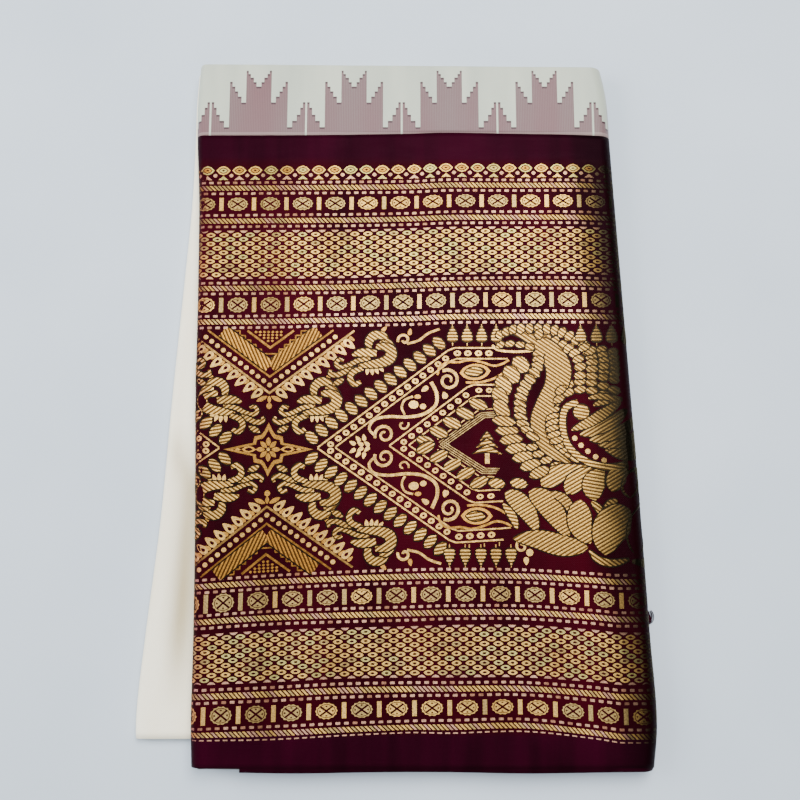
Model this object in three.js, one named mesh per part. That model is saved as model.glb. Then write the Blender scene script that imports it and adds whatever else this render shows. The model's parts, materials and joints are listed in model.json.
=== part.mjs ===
// A silk saree with one very wide woven border, folded into a flat packet.
// The cloth is doubled across its width at the back (+Y), so that the selvedges lie at the
// front, and its length is folded into leaves. The outermost ply crosses the top, turns down
// round the right fold and runs back along the underside. One loose leaf of the plain body
// fans out at the left. Millimetres, +Z up, the packet lies on Z = 0.
import * as THREE from 'three';

// ---- cloth ----
const wall = 1.2; // one outer ply
const gap = 0.3; // between neighbouring pieces
const foldSlack = 0.5; // more room for the hidden leaves inside a round fold

// ---- heights ----
const packetHeight = 24;
const upperHeight = 15.3; // the leaves above the loose leaf
const leafHeight = packetHeight - upperHeight - gap;
const upperRadius = upperHeight / 2;
const leafRadius = leafHeight / 2;
const rightRadius = packetHeight / 2;

// ---- lines across the packet ----
const joinY = 236; // the border is interlocked with the body here
const selvedgeY = -299.7; // the border's own edge on the top
const underSelvedgeY = -304.25; // the same edge on the underside
const secondSelvedgeY = -303.2; // and on the ply below the top one
const leafSelvedgeY = -281; // the body's edge is a little short of it
const backFoldY = 297; // the body doubles back here
const leafBackFoldY = 300;
const backReturn = 11; // length of the doubled ply that is modelled

// ---- where plies start and end inside the packet ----
const upperReturn = 9; // the outer ply runs back this far below the upper leaves
const underEndX = -127; // the outer ply ends here on the underside
const leafTopEndX = -150; // the loose leaf's upper ply runs this far in
const secondStartX = -127;
const secondEndY = 228;
const secondInset = 14; // from the right fold's outermost line
const secondPlyTop = packetHeight - wall - 1.5 * gap;

// The packet's edges along its length: the outermost lines of the upper leaves' left fold, of
// the loose leaf's left fold and of the right fold.
const outline = [
  { y: -306, upperLeft: -166.6, leafLeft: -214.2, right: 207.4 },
  { y: -265, upperLeft: -168.4, leafLeft: -216.65, right: 211.7 },
  { y: -200, upperLeft: -168.6, leafLeft: -211.8, right: 208.8 },
  { y: -103, upperLeft: -170.2, leafLeft: -202.6, right: 204.9 },
  { y: 0, upperLeft: -173.2, leafLeft: -196.5, right: 200.2 },
  { y: 88, upperLeft: -174.0, leafLeft: -190.5, right: 196.0 },
  { y: 175, upperLeft: -175.6, leafLeft: -184.9, right: 191.8 },
  { y: 232, upperLeft: -178.8, leafLeft: -183.6, right: 189.2 },
  { y: 272, upperLeft: -179.2, leafLeft: -183.4, right: 187.4 },
  { y: 306, upperLeft: -177.4, leafLeft: -181.6, right: 181.2 },
];

// Soft swells (+) and hollows (-) of the top ply.
const topSwells = [
  { x: -150, y: -120, halfX: 22, halfY: 190, rise: -0.7 },
  { x: -88, y: -270, halfX: 34, halfY: 60, rise: 0.7 },
  { x: -34, y: -300, halfX: 22, halfY: 34, rise: -0.4 },
  { x: 10, y: -150, halfX: 60, halfY: 90, rise: 0.5 },
  { x: 96, y: -292, halfX: 30, halfY: 40, rise: 0.8 },
  { x: 150, y: -296, halfX: 24, halfY: 30, rise: -0.4 },
  { x: 70, y: 60, halfX: 80, halfY: 70, rise: 0.6 },
  { x: -90, y: 110, halfX: 40, halfY: 80, rise: 0.5 },
  { x: 120, y: 190, halfX: 50, halfY: 40, rise: 0.4 },
];

// The same for the loose leaf: a ridge beside its fold and a trough next to the upper leaves.
const leafSwells = [
  { x: -199, y: -190, halfX: 8, halfY: 90, rise: 0.9 },
  { x: -181, y: -178, halfX: 7, halfY: 62, rise: -1.2 },
  { x: -188, y: -20, halfX: 6, halfY: 60, rise: -0.5 },
];

// The hidden leaves from the underside up: how far each one's front edge and back fold stay
// short of the farthest ones.
const hiddenLeaves = [
  { front: 3.0, back: 4.5 },
  { front: 1.4, back: 2.4 },
  { front: 4.2, back: 1.0 },
  { front: 2.2, back: 0.0 },
  { front: 3.4, back: 0.9 },
  { front: 1.2, back: 0.3 },
  { front: 2.6, back: 1.8 },
  { front: 1.8, back: 3.6 },
];
const hiddenFrontY = -300.5;
const hiddenBackY = 304.25;
const leafSlack = 3.6; // free height kept below the loose leaf's upper ply
const grooveShare = 0.2; // of a leaf's height, above and below its edge
const frontGroove = 5;
const backGroove = 2.2;

// The corner of the cloth's inner end, which peeps out from below the right fold.
const endCorner = [
  { x: 211.2, y: -170 },
  { x: 216.3, y: -183.6 },
];
const endCornerHeight = 1.0;
const endCornerStartY = -158;
const endCornerEndY = -187.5;

const maroon = { color: 0x4a0d2a, roughness: 0.5, metalness: 0.05 };
const zari = { color: 0x8a5a3c, roughness: 0.42, metalness: 0.35 };
const ivory = { color: 0xdcd8cb, roughness: 0.48, metalness: 0 };

const saree = new THREE.Group();

function addPiece(name, geometry, finish) {
  const piece = new THREE.Mesh(geometry, new THREE.MeshStandardMaterial(finish));
  piece.name = name;
  saree.add(piece);
}

// A smooth line through one column of the outline table.
function edgeAt(column, y) {
  const last = outline.length - 1;
  let row = 0;
  while (row < last - 1 && y > outline[row + 1].y) row += 1;
  const slopeAt = (index) => {
    const before = outline[Math.max(index - 1, 0)];
    const after = outline[Math.min(index + 1, last)];
    return (after[column] - before[column]) / (after.y - before.y);
  };
  const from = outline[row];
  const to = outline[row + 1];
  const span = to.y - from.y;
  const t = THREE.MathUtils.clamp((y - from.y) / span, 0, 1);
  const ease = t * t * (3 - 2 * t);
  const leave = t * (1 - t) * (1 - t) * span * slopeAt(row);
  const arrive = t * t * (t - 1) * span * slopeAt(row + 1);
  return from[column] + (to[column] - from[column]) * ease + leave + arrive;
}

function swellAt(swells, x, y) {
  let rise = 0;
  for (const swell of swells) {
    const dx = (x - swell.x) / swell.halfX;
    const dy = (y - swell.y) / swell.halfY;
    rise += swell.rise * Math.exp(-dx * dx - dy * dy);
  }
  return rise;
}

// ---- stretches of cloth, seen along Y ----
// Each stretch gives the spans that it runs through, with the steps in each, and the point
// (x, z) of its outer face at a distance along it. The outer face is on the left of its run.
const arcPoint = (cx, cz, radius, angle) =>
  new THREE.Vector2(cx + radius * Math.cos(angle), cz + radius * Math.sin(angle));

const leftFold = {
  spans: () => [
    { length: upperReturn, steps: 1 },
    { length: Math.PI * upperRadius, steps: 9 },
  ],
  at(distance, y) {
    const cx = edgeAt('upperLeft', y) + upperRadius;
    const cz = packetHeight - upperRadius;
    if (distance < upperReturn) return new THREE.Vector2(cx + upperReturn - distance, cz - upperRadius);
    return arcPoint(cx, cz, upperRadius, -Math.PI / 2 - (distance - upperReturn) / upperRadius);
  },
};

const acrossTop = {
  start: (y) => edgeAt('upperLeft', y) + upperRadius,
  length: (y) => edgeAt('right', y) - rightRadius - acrossTop.start(y),
  spans: (y) => [{ length: acrossTop.length(y), steps: 26 }],
  at(distance, y) {
    const x = acrossTop.start(y) + distance;
    const share = THREE.MathUtils.clamp(distance / acrossTop.length(y), 0, 1);
    const flatEnds = Math.min(1, 12 * share, 12 * (1 - share));
    return new THREE.Vector2(x, packetHeight + swellAt(topSwells, x, y) * flatEnds);
  },
};

const rightFold = {
  spans: () => [{ length: Math.PI * rightRadius, steps: 12 }],
  at(distance, y) {
    const cx = edgeAt('right', y) - rightRadius;
    return arcPoint(cx, rightRadius, rightRadius, Math.PI / 2 - distance / rightRadius);
  },
};

const underside = {
  spans: (y) => [{ length: edgeAt('right', y) - rightRadius - underEndX, steps: 5 }],
  at: (distance, y) => new THREE.Vector2(edgeAt('right', y) - rightRadius - distance, 0),
};

// The second ply lies flat below the top one and shows along the front.
const secondPly = {
  spans: (y) => [{ length: edgeAt('right', y) - secondInset - secondStartX, steps: 4 }],
  at: (distance) => new THREE.Vector2(secondStartX + distance, secondPlyTop),
};

const looseLeaf = {
  underLength: (y) => underEndX - gap - edgeAt('leafLeft', y) - leafRadius,
  spans: (y) => [
    { length: looseLeaf.underLength(y), steps: 2 },
    { length: Math.PI * leafRadius, steps: 8 },
    { length: leafTopEndX - edgeAt('leafLeft', y) - leafRadius, steps: 10 },
  ],
  at(distance, y) {
    const cx = edgeAt('leafLeft', y) + leafRadius;
    const round = distance - looseLeaf.underLength(y);
    if (round < 0) return new THREE.Vector2(underEndX - gap - distance, 0);
    if (round < Math.PI * leafRadius) {
      return arcPoint(cx, leafRadius, leafRadius, -Math.PI / 2 - round / leafRadius);
    }
    const x = cx + round - Math.PI * leafRadius;
    const clear = THREE.MathUtils.smoothstep(x, cx, cx + 8);
    return new THREE.Vector2(x, leafHeight + swellAt(leafSwells, x, y) * clear);
  },
};

// The distances of a stretch's steps, half a gap short of its neighbours at both ends.
function stepsAlong(stretch, y) {
  const distances = [gap / 2];
  let start = 0;
  for (const { length, steps } of stretch.spans(y)) {
    for (let step = 1; step <= steps; step += 1) distances.push(start + (length * step) / steps);
    start += length;
  }
  distances[distances.length - 1] -= gap / 2;
  return distances;
}

// The outer face's point and outward direction at a distance along a stretch.
function faceAt(stretch, distance, y) {
  const reach = 0.05;
  const run = stretch.at(distance + reach, y).sub(stretch.at(distance - reach, y)).normalize();
  return { point: stretch.at(distance, y), outward: new THREE.Vector2(-run.y, run.x) };
}

// ---- walls ----
// A closed wall from a grid of outer points. Each inner point lies one wall thickness behind
// the outer one.
function wallGeometry(rows) {
  const rowCount = rows.length;
  const columnCount = rows[0].length;
  const positions = [];
  const faces = [];
  const outerIndex = (i, j) => i * columnCount + j;
  const innerIndex = (i, j) => rowCount * columnCount + outerIndex(i, j);
  const addPoint = (p) => positions.push(p.x, p.y, p.z);
  for (const row of rows) for (const { point } of row) addPoint(point);
  for (const row of rows) {
    for (const { point, outward } of row) addPoint(point.clone().addScaledVector(outward, -wall));
  }
  const quad = (a, b, c, d) => faces.push(a, b, c, a, c, d);
  const lastRow = rowCount - 1;
  const lastColumn = columnCount - 1;
  for (let i = 0; i < lastRow; i += 1) {
    for (let j = 0; j < lastColumn; j += 1) {
      quad(outerIndex(i, j), outerIndex(i, j + 1), outerIndex(i + 1, j + 1), outerIndex(i + 1, j));
      quad(innerIndex(i, j), innerIndex(i + 1, j), innerIndex(i + 1, j + 1), innerIndex(i, j + 1));
    }
  }
  for (let j = 0; j < lastColumn; j += 1) {
    quad(innerIndex(0, j), innerIndex(0, j + 1), outerIndex(0, j + 1), outerIndex(0, j));
    quad(outerIndex(lastRow, j), outerIndex(lastRow, j + 1), innerIndex(lastRow, j + 1), innerIndex(lastRow, j));
  }
  for (let i = 0; i < lastRow; i += 1) {
    quad(outerIndex(i, 0), outerIndex(i + 1, 0), innerIndex(i + 1, 0), innerIndex(i, 0));
    quad(innerIndex(i, lastColumn), innerIndex(i + 1, lastColumn), outerIndex(i + 1, lastColumn),
      outerIndex(i, lastColumn));
  }
  return closedGeometry(positions, faces);
}

function closedGeometry(positions, faces) {
  const geometry = new THREE.BufferGeometry();
  geometry.setAttribute('position', new THREE.Float32BufferAttribute(positions, 3));
  geometry.setIndex(faces);
  geometry.computeVertexNormals();
  return geometry;
}

// A row of points across a stretch. Each is sunk by depth, and its outward direction is turned
// towards the back. y is a number, or a function of the share of the way across.
function clothRow(stretch, y, depth = 0, turn = 0) {
  const yAt = typeof y === 'function' ? y : () => y;
  const count = stepsAlong(stretch, yAt(0)).length;
  return Array.from({ length: count }, (_, index) => {
    const pointY = yAt(index / (count - 1));
    const { point, outward } = faceAt(stretch, stepsAlong(stretch, pointY)[index], pointY);
    return {
      point: new THREE.Vector3(point.x - outward.x * depth, pointY, point.y - outward.y * depth),
      outward: new THREE.Vector3(outward.x * Math.cos(turn), Math.sin(turn), outward.y * Math.cos(turn)),
    };
  });
}

const shares = (count) => Array.from({ length: count + 1 }, (_, index) => index / count);

// A stretch from its front edge, which may slant, to its back edge.
function flatStretch(stretch, frontAt, back, steps) {
  const yAt = (along) => (share) => THREE.MathUtils.lerp(frontAt(share), back, along);
  return wallGeometry(shares(steps).map((along) => clothRow(stretch, yAt(along))));
}

// A stretch that doubles back inside itself at the back.
function doubledStretch(stretch, front, backFold, steps) {
  const foldRadius = wall + gap / 2;
  const foldMiddle = backFold - foldRadius;
  const turnSteps = 6;
  const rows = shares(steps).map((along) => clothRow(stretch, THREE.MathUtils.lerp(front, foldMiddle, along)));
  for (let i = 1; i <= turnSteps; i += 1) {
    const turn = (Math.PI * i) / turnSteps;
    const depth = foldRadius * (1 - Math.cos(turn));
    rows.push(clothRow(stretch, foldMiddle + foldRadius * Math.sin(turn), depth, turn));
  }
  rows.push(clothRow(stretch, foldMiddle - backReturn, 2 * foldRadius, Math.PI));
  return wallGeometry(rows);
}

// ---- the hidden leaves ----
// How far inside the outline the hidden leaves start: one ply, and two where it is doubled.
function plyInset(y) {
  const doubled = THREE.MathUtils.smoothstep(y, backFoldY - 42, backFoldY - 22);
  return (wall + gap) * (1 + doubled) + foldSlack;
}

// Half the width of a round fold of the given radius at a height above or below its middle.
function bulge(radius, offset) {
  return Math.sqrt(Math.max(radius * radius - offset * offset, 0));
}

function hiddenLeft(z, y) {
  const inset = plyInset(y);
  if (z < leafHeight - leafSlack) {
    return edgeAt('leafLeft', y) + leafRadius - bulge(leafRadius - inset, z - leafRadius);
  }
  if (z < leafHeight + gap) return leafTopEndX + 2;
  const middle = packetHeight - upperRadius;
  const returnTop = leafHeight + gap + inset;
  const foldMiddle = edgeAt('upperLeft', y) + upperRadius;
  if (z < returnTop) return foldMiddle + upperReturn + 2;
  return foldMiddle - bulge(upperRadius - inset, z - middle);
}

function hiddenRight(z, y) {
  return edgeAt('right', y) - rightRadius + bulge(rightRadius - plyInset(y), z - rightRadius);
}

const stepX = -170; // left of this the lower leaves end at the loose leaf's own edge
const sideStations = [-278, -262, -230, -190, -150, -100, -50, 0, 50, 100, 150, 200, 240, 262, 280];
const frontShares = [0.12, 0.3, 0.5, 0.7, 0.88];
const backShares = [0.04, 0.15, 0.32, 0.5, 0.68, 0.85, 0.96];

// One closed outline of the hidden leaves at a height.
function hiddenRing(z, front, back) {
  const belowUpperLeaves = z < leafHeight + gap + plyInset(front);
  const leftFront = belowUpperLeaves ? leafSelvedgeY + 3 : front;
  const left = (y) => hiddenLeft(z, y);
  const right = (y) => hiddenRight(z, y);
  const frontStart = Math.max(stepX, left(front) + 4);
  const corners = [];
  const add = (x, y) => corners.push(new THREE.Vector2(x, y));
  add(left(leftFront) + 2, leftFront);
  add(frontStart - 1, leftFront);
  add(frontStart + 1, front);
  for (const share of frontShares) add(THREE.MathUtils.lerp(frontStart, right(front), share), front);
  add(right(front) - 3, front);
  add(right(front), front + 3);
  for (const y of sideStations) add(right(y), y);
  add(right(back - 5), Math.max(back - 5, 281));
  for (const share of backShares) add(THREE.MathUtils.lerp(right(back), left(back), share), back);
  add(left(back - 5), Math.max(back - 5, 281));
  for (const y of [...sideStations].reverse()) add(left(y), Math.max(y, leftFront + 3));
  return corners;
}

function hiddenLayersGeometry() {
  const lowest = wall + gap;
  const highest = packetHeight - wall - gap - wall - gap - 0.1;
  const pitch = (highest - lowest) / hiddenLeaves.length;
  const levels = [];
  hiddenLeaves.forEach((leaf, index) => {
    const base = lowest + index * pitch;
    const outermost = index === 0 || index === hiddenLeaves.length - 1;
    const back = outermost ? backFoldY - backReturn - 4 : hiddenBackY - leaf.back;
    const front = hiddenFrontY + leaf.front;
    levels.push({ z: base, front: front + frontGroove, back: back - backGroove });
    levels.push({ z: base + grooveShare * pitch, front, back });
    levels.push({ z: base + (1 - grooveShare) * pitch, front, back });
    levels.push({ z: base + 0.999 * pitch, front: front + frontGroove, back: back - backGroove });
  });
  // a level just below and above each height where the left side steps in or out
  const returnTop = leafHeight + gap + plyInset(0);
  const sideSteps = [leafHeight - leafSlack, leafHeight + gap, returnTop];
  for (const z of sideSteps) {
    const near = levels.reduce((best, level) => (Math.abs(level.z - z) < Math.abs(best.z - z) ? level : best));
    levels.push({ z: z - 0.02, front: near.front, back: near.back });
    levels.push({ z: z + 0.02, front: near.front, back: near.back });
  }
  levels.sort((a, b) => a.z - b.z);
  const rings = levels.map(({ z, front, back }) => ({ z, points: hiddenRing(z, front, back) }));
  const count = rings[0].points.length;
  const positions = [];
  const faces = [];
  for (const ring of rings) for (const p of ring.points) positions.push(p.x, p.y, ring.z);
  for (let i = 0; i < rings.length - 1; i += 1) {
    for (let j = 0; j < count; j += 1) {
      const next = (j + 1) % count;
      const a = i * count + j;
      const b = i * count + next;
      faces.push(a, b, b + count, a, b + count, a + count);
    }
  }
  const cap = THREE.ShapeUtils.triangulateShape(rings[0].points, []);
  for (const [a, b, c] of cap) faces.push(a, c, b);
  const top = (rings.length - 1) * count;
  const topCap = THREE.ShapeUtils.triangulateShape(rings[rings.length - 1].points, []);
  for (const [a, b, c] of topCap) faces.push(top + a, top + b, top + c);
  return closedGeometry(positions, faces);
}

// ---- the pieces ----
const topSelvedge = () => selvedgeY;
const underSelvedge = () => underSelvedgeY;
const secondSelvedge = () => secondSelvedgeY;
const slantedSelvedge = (share) => THREE.MathUtils.lerp(selvedgeY, underSelvedgeY, share);
const bodyStart = joinY + gap;
const borderSteps = 18;
const bodySteps = 3;
const leafSteps = 16;

addPiece('border_top', flatStretch(acrossTop, topSelvedge, joinY, borderSteps), zari);
addPiece('border_left_fold', flatStretch(leftFold, topSelvedge, joinY, borderSteps), zari);
addPiece('border_right_fold', flatStretch(rightFold, slantedSelvedge, joinY, borderSteps), zari);
addPiece('border_under', flatStretch(underside, underSelvedge, joinY, borderSteps), maroon);
addPiece('border_second_ply', flatStretch(secondPly, secondSelvedge, secondEndY, borderSteps), maroon);
addPiece('body_top', doubledStretch(acrossTop, bodyStart, backFoldY, bodySteps), ivory);
addPiece('body_left_fold', doubledStretch(leftFold, bodyStart, backFoldY, bodySteps), ivory);
addPiece('body_right_fold', doubledStretch(rightFold, bodyStart, backFoldY, bodySteps), ivory);
addPiece('body_under', doubledStretch(underside, bodyStart, backFoldY, bodySteps), ivory);
addPiece('body_loose_leaf', doubledStretch(looseLeaf, leafSelvedgeY, leafBackFoldY, leafSteps), ivory);
addPiece('inner_layers', hiddenLayersGeometry(), maroon);

// where a flat ply comes within the gap of the right fold
const tuckReach = Math.sqrt((rightRadius + gap) ** 2 - (rightRadius - endCornerHeight) ** 2);
const tucked = (y) => new THREE.Vector2(edgeAt('right', y) - rightRadius + tuckReach, y);
const endShape = new THREE.Shape([
  tucked(endCornerStartY),
  ...endCorner.map(({ x, y }) => new THREE.Vector2(x, y)),
  tucked(endCornerEndY),
]);
const endGeometry = new THREE.ExtrudeGeometry(endShape, { depth: endCornerHeight, bevelEnabled: false });
addPiece('inner_end_corner', endGeometry, maroon);

export default saree;
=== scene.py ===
import json
import math
import bpy
import numpy as np
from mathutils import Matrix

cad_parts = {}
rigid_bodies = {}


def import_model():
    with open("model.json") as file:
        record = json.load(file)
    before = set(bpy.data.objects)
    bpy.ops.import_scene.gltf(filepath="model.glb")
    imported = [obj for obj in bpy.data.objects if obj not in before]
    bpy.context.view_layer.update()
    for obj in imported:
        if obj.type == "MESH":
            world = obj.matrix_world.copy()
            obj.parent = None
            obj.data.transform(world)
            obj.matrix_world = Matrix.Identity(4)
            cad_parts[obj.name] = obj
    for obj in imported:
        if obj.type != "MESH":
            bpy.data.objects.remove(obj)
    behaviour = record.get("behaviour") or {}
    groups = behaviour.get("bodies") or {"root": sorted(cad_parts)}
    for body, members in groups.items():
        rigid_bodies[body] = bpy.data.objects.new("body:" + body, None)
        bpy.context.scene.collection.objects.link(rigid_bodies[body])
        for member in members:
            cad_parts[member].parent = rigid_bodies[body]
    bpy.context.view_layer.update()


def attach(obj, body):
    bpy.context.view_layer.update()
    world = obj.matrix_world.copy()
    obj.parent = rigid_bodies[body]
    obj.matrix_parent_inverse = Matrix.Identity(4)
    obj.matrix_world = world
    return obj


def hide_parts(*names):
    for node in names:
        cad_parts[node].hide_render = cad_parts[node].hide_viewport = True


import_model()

millimetre = 0.001

# ---- the packet: the same lines as the frame, in millimetres ----
packet = {
    "height": 24.0,
    "upperRadius": 7.65,      # the upper leaves' left fold
    "rightRadius": 12.0,      # the big fold, all the leaves high
    "leafHeight": 8.4,        # the loose leaf at the left
    "joinY": 236.2,           # border and body are interlocked here
    "selvedgeY": -299.7,
    "underSelvedgeY": -304.25,
    "backFoldY": 301.0,       # at the left end, with a small slope towards the right
    "backSlope": 0.0085,
    "upperReturn": 9.0,       # the outer ply runs back this far below the upper leaves
    "underEndX": -127.0,
    "ply": 0.6,
    "patternDepth": 0.33,     # how far the underside is lifted, so that its pattern stands on the surface
}
outlineY = [-306, -265, -200, -103, 0, 88, 175, 232, 272, 306]
outline = {
    "upperLeft": [-166.6, -168.4, -168.6, -170.2, -173.2, -174.0, -175.6, -178.8, -179.2, -177.4],
    "leafLeft": [-214.2, -216.65, -211.8, -202.6, -196.5, -190.5, -184.9, -183.6, -183.4, -181.6],
    "right": [207.4, 211.7, 208.8, 204.9, 200.2, 196.0, 191.8, 189.2, 187.4, 181.2],
}
# soft swells and hollows of the top ply: x, y, half width, half length, rise
topSwells = [
    (-150, -120, 22, 190, -0.7), (-88, -270, 34, 60, 0.7), (-34, -300, 22, 34, -0.4),
    (10, -150, 60, 90, 0.5), (96, -292, 30, 40, 0.8), (150, -296, 24, 30, -0.4),
    (70, 60, 80, 70, 0.6), (-90, 110, 40, 80, 0.5), (120, 190, 50, 40, 0.4),
]
# narrow creases where the leaves below end or turn: x at the front, x at the back, half width, rise
creaseSpan = {"front": -300, "length": 600}
topCreases = [
    (-128, -112, 3.2, 0.22), (-46, -44, 4.0, -0.2), (55, 50, 3.4, 0.2), (128, 118, 5.0, -0.18),
]
# the top is flat at both folds: the width between them, the share over which it gets flat, and its end
flatTop = {"width": 340, "fade": 0.07, "end": 1.06}
leafSwells = [
    (-199, -190, 8, 90, 0.9), (-188, -20, 6, 60, -0.5),
]
# the loose leaf's valley: where it lies, how deep it is, and how much painted shade darkens the leaf's colour
# along it
leafValley = {
    "half": 9.0, "deep": 2.8, "rightShare": 0.7,     # it is wider on the right
    "above": 4,                                      # only the leaf's top face is darkened, above this
    "y": [-262, -236, -202, -170, -137, -95, -72, -46, -20],
    "x": [-185, -183.6, -183.0, -181.4, -180.2, -178.6, -179, -187, -189],
    "share": [0, 0.35, 0.85, 1, 0.95, 0.85, 0.8, 0.45, 0],
    # painted shade: the colour that the darkest part of the valley is multiplied by
    "tint": (0.46, 0.40, 0.29),
}


def smoothLine(knots, values, at):
    # a smooth line through a table's values
    knots, values = np.asarray(knots, float), np.asarray(values, float)
    last = len(knots) - 1
    before, after = np.maximum(np.arange(last + 1) - 1, 0), np.minimum(np.arange(last + 1) + 1, last)
    slopes = (values[after] - values[before]) / (knots[after] - knots[before])
    row = np.clip(np.searchsorted(knots, at) - 1, 0, last - 1)
    span = knots[row + 1] - knots[row]
    t = np.clip((at - knots[row]) / span, 0, 1)
    ease = t * t * (3 - 2 * t)
    leave, arrive = t * (1 - t) ** 2 * span * slopes[row], t * t * (t - 1) * span * slopes[row + 1]
    return values[row] + (values[row + 1] - values[row]) * ease + leave + arrive


def edgeAt(column, y):
    return smoothLine(outlineY, outline[column], y)


def smoothStep(low, high, value):
    t = np.clip((value - low) / (high - low), 0, 1)
    return t * t * (3 - 2 * t)


def swellAt(swells, x, y):
    rise = np.zeros(np.broadcast(x, y).shape)
    for sx, sy, halfX, halfY, height in swells:
        rise = rise + height * np.exp(-((x - sx) / halfX) ** 2 - ((y - sy) / halfY) ** 2)
    return rise


def valleyAt(x, y):
    line = smoothLine(leafValley["y"], leafValley["x"], y)
    share = smoothLine(leafValley["y"], leafValley["share"], y)
    away = np.where(x > line, (x - line) * leafValley["rightShare"], x - line) / leafValley["half"]
    inside = (y > leafValley["y"][0]) & (y < leafValley["y"][-1])
    return share * np.exp(-away * away) * inside


def topRise(x, y):
    rise = swellAt(topSwells, x, y)
    for front, back, half, height in topCreases:
        line = front + (back - front) * (y - creaseSpan["front"]) / creaseSpan["length"]
        rise = rise + height * np.exp(-((x - line) / half) ** 2)
    share = (x - edgeAt("upperLeft", y) - packet["upperRadius"]) / flatTop["width"]
    fade = flatTop["fade"]
    return rise * smoothStep(0, fade, share) * smoothStep(0, fade, flatTop["end"] - share)


def foldLines(y):
    return edgeAt("upperLeft", y) + packet["upperRadius"], edgeAt("right", y) - packet["rightRadius"]


paintedFoldShade = {
    # painted shade: the silk faces away from the light here, so its colour is painted darker: distance in
    # from the right edge, and how much darker
    "inward": [0, 11, 13.4, 16, 18.6, 21.2, 23.8, 28, 32, 36, 42, 48],
    "shade": [1, 1, 0.995, 0.982, 0.96, 0.91, 0.85, 0.8, 0.74, 0.5, 0.2, 0],
    # it begins farther out towards the front (by, from y, to y), and most at one place (by, y, half)
    "front": (4, -130, -165), "most": (4.5, -215, 28),
    "under": (40, 26),        # it ends between these distances past the fold's line
}


# painted shade at the right fold: how much darker the colour is painted where the silk turns away from the
# light
def foldShade(p, y):
    line = foldLines(y)[1]
    (front, startY, fullY), (most, mostY, half) = paintedFoldShade["front"], paintedFoldShade["most"]
    nearer = front * smoothStep(startY, fullY, y) + most * np.exp(-((y - mostY) / half) ** 2)
    inward = line + packet["rightRadius"] - p + nearer
    endFar, endNear = paintedFoldShade["under"]
    under = smoothStep(line + endFar, line + endNear, p)
    return np.interp(inward, paintedFoldShade["inward"], paintedFoldShade["shade"]) * under


slopeStep = 0.4      # how far apart two heights are taken to find a slope


def slopes(height, x, y):
    # the parts of the outward way that a surface's slope gives
    acrossX = height(x + slopeStep, y) - height(x - slopeStep, y)
    acrossY = height(x, y + slopeStep) - height(x, y - slopeStep)
    return -acrossX / (2 * slopeStep), -acrossY / (2 * slopeStep)


def outerPlace(p, y, rise, turn=0.0):
    # p is x across the top, and the length of cloth beyond that round both folds and underneath;
    # rise is above the outer face, and turn leans the way out towards the back
    p, y, rise, turn = (np.array(a, float) for a in np.broadcast_arrays(p, y, rise, turn))
    left, right = foldLines(y)
    x, z = p.copy(), packet["height"] + topRise(p, y)
    nx, ny = slopes(topRise, p, y)
    nz = np.ones_like(p)
    for side, line, radius in ((-1, left, packet["upperRadius"]), (1, right, packet["rightRadius"])):
        beyond = np.maximum(side * (p - line), 0)
        angle = np.minimum(beyond / radius, math.pi)
        on = beyond > 0
        x = np.where(on, line + side * (radius * np.sin(angle) - (beyond - angle * radius)), x)
        z = np.where(on, packet["height"] - radius + radius * np.cos(angle), z)
        nx = np.where(on, side * np.sin(angle), nx)
        ny = np.where(on, 0, ny)
        nz = np.where(on, np.cos(angle), nz)
    rolled = (p - right) / packet["rightRadius"]
    z = z + packet["patternDepth"] * smoothStep(0.75 * math.pi, math.pi, rolled)
    size = np.sqrt(nx * nx + ny * ny + nz * nz)
    lean = np.cos(turn) / size
    nx, ny, nz = nx * lean, ny * lean + np.sin(turn), nz * lean
    return np.stack([x + nx * rise, y + ny * rise, z + nz * rise], -1)


# ---- meshes ----
def addMesh(name, points, faces, uv, attributes=None, smooth=True):
    mesh = bpy.data.meshes.new(name)
    mesh.from_pydata((np.asarray(points) * millimetre).tolist(), [], faces)
    corners = np.empty(len(mesh.loops), int)
    mesh.loops.foreach_get("vertex_index", corners)
    layer = mesh.uv_layers.new(name="weave")
    layer.data.foreach_set("uv", (np.asarray(uv)[corners] * millimetre).ravel())
    for label, (kind, values) in (attributes or {}).items():
        field = "color" if kind == "FLOAT_COLOR" else "vector"
        made = mesh.attributes.new(label, kind, "POINT")
        made.data.foreach_set(field, np.asarray(values, float).ravel())
    mesh.polygons.foreach_set("use_smooth", [smooth] * len(mesh.polygons))
    mesh.validate()
    piece = bpy.data.objects.new(name, mesh)
    bpy.context.collection.objects.link(piece)
    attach(piece, "root")
    return piece


def addCloth(name, outer, inner, uv, attributes=None):
    # a closed thin shell from the grids of its outer and inner face
    rows, columns = outer.shape[:2]
    front = np.arange(rows * columns).reshape(rows, columns)
    back = front + rows * columns

    def quads(a, b, c, d):
        return np.stack([a, b, c, d], -1).reshape(-1, 4)

    def edge(near, far):
        return quads(near[:-1], near[1:], far[1:], far[:-1])

    faces = np.concatenate([
        quads(front[:-1, :-1], front[:-1, 1:], front[1:, 1:], front[1:, :-1]),
        quads(back[:-1, :-1], back[1:, :-1], back[1:, 1:], back[:-1, 1:]),
        edge(back[0], front[0]), edge(front[-1], back[-1]),
        edge(front[:, 0], back[:, 0]), edge(back[:, -1], front[:, -1]),
    ])
    points = np.concatenate([outer.reshape(-1, 3), inner.reshape(-1, 3)])
    both = np.concatenate([uv.reshape(-1, 2)] * 2)
    return addMesh(name, points, faces.tolist(), both, attributes)


def withAlpha(colours):
    return np.column_stack([colours, np.ones(len(colours))])


def stations(*spans):
    # distances along several spans, each (length, step)
    found, start = [0.0], 0.0
    for length, step in spans:
        count = max(1, round(length / step))
        found += [start + length * (k + 1) / count for k in range(count)]
        start += length
    return np.array(found)


gridRows = {"border": 134, "body": 17, "leaf": 96, "second": 60, "end": 16}      # from front to back

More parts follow.
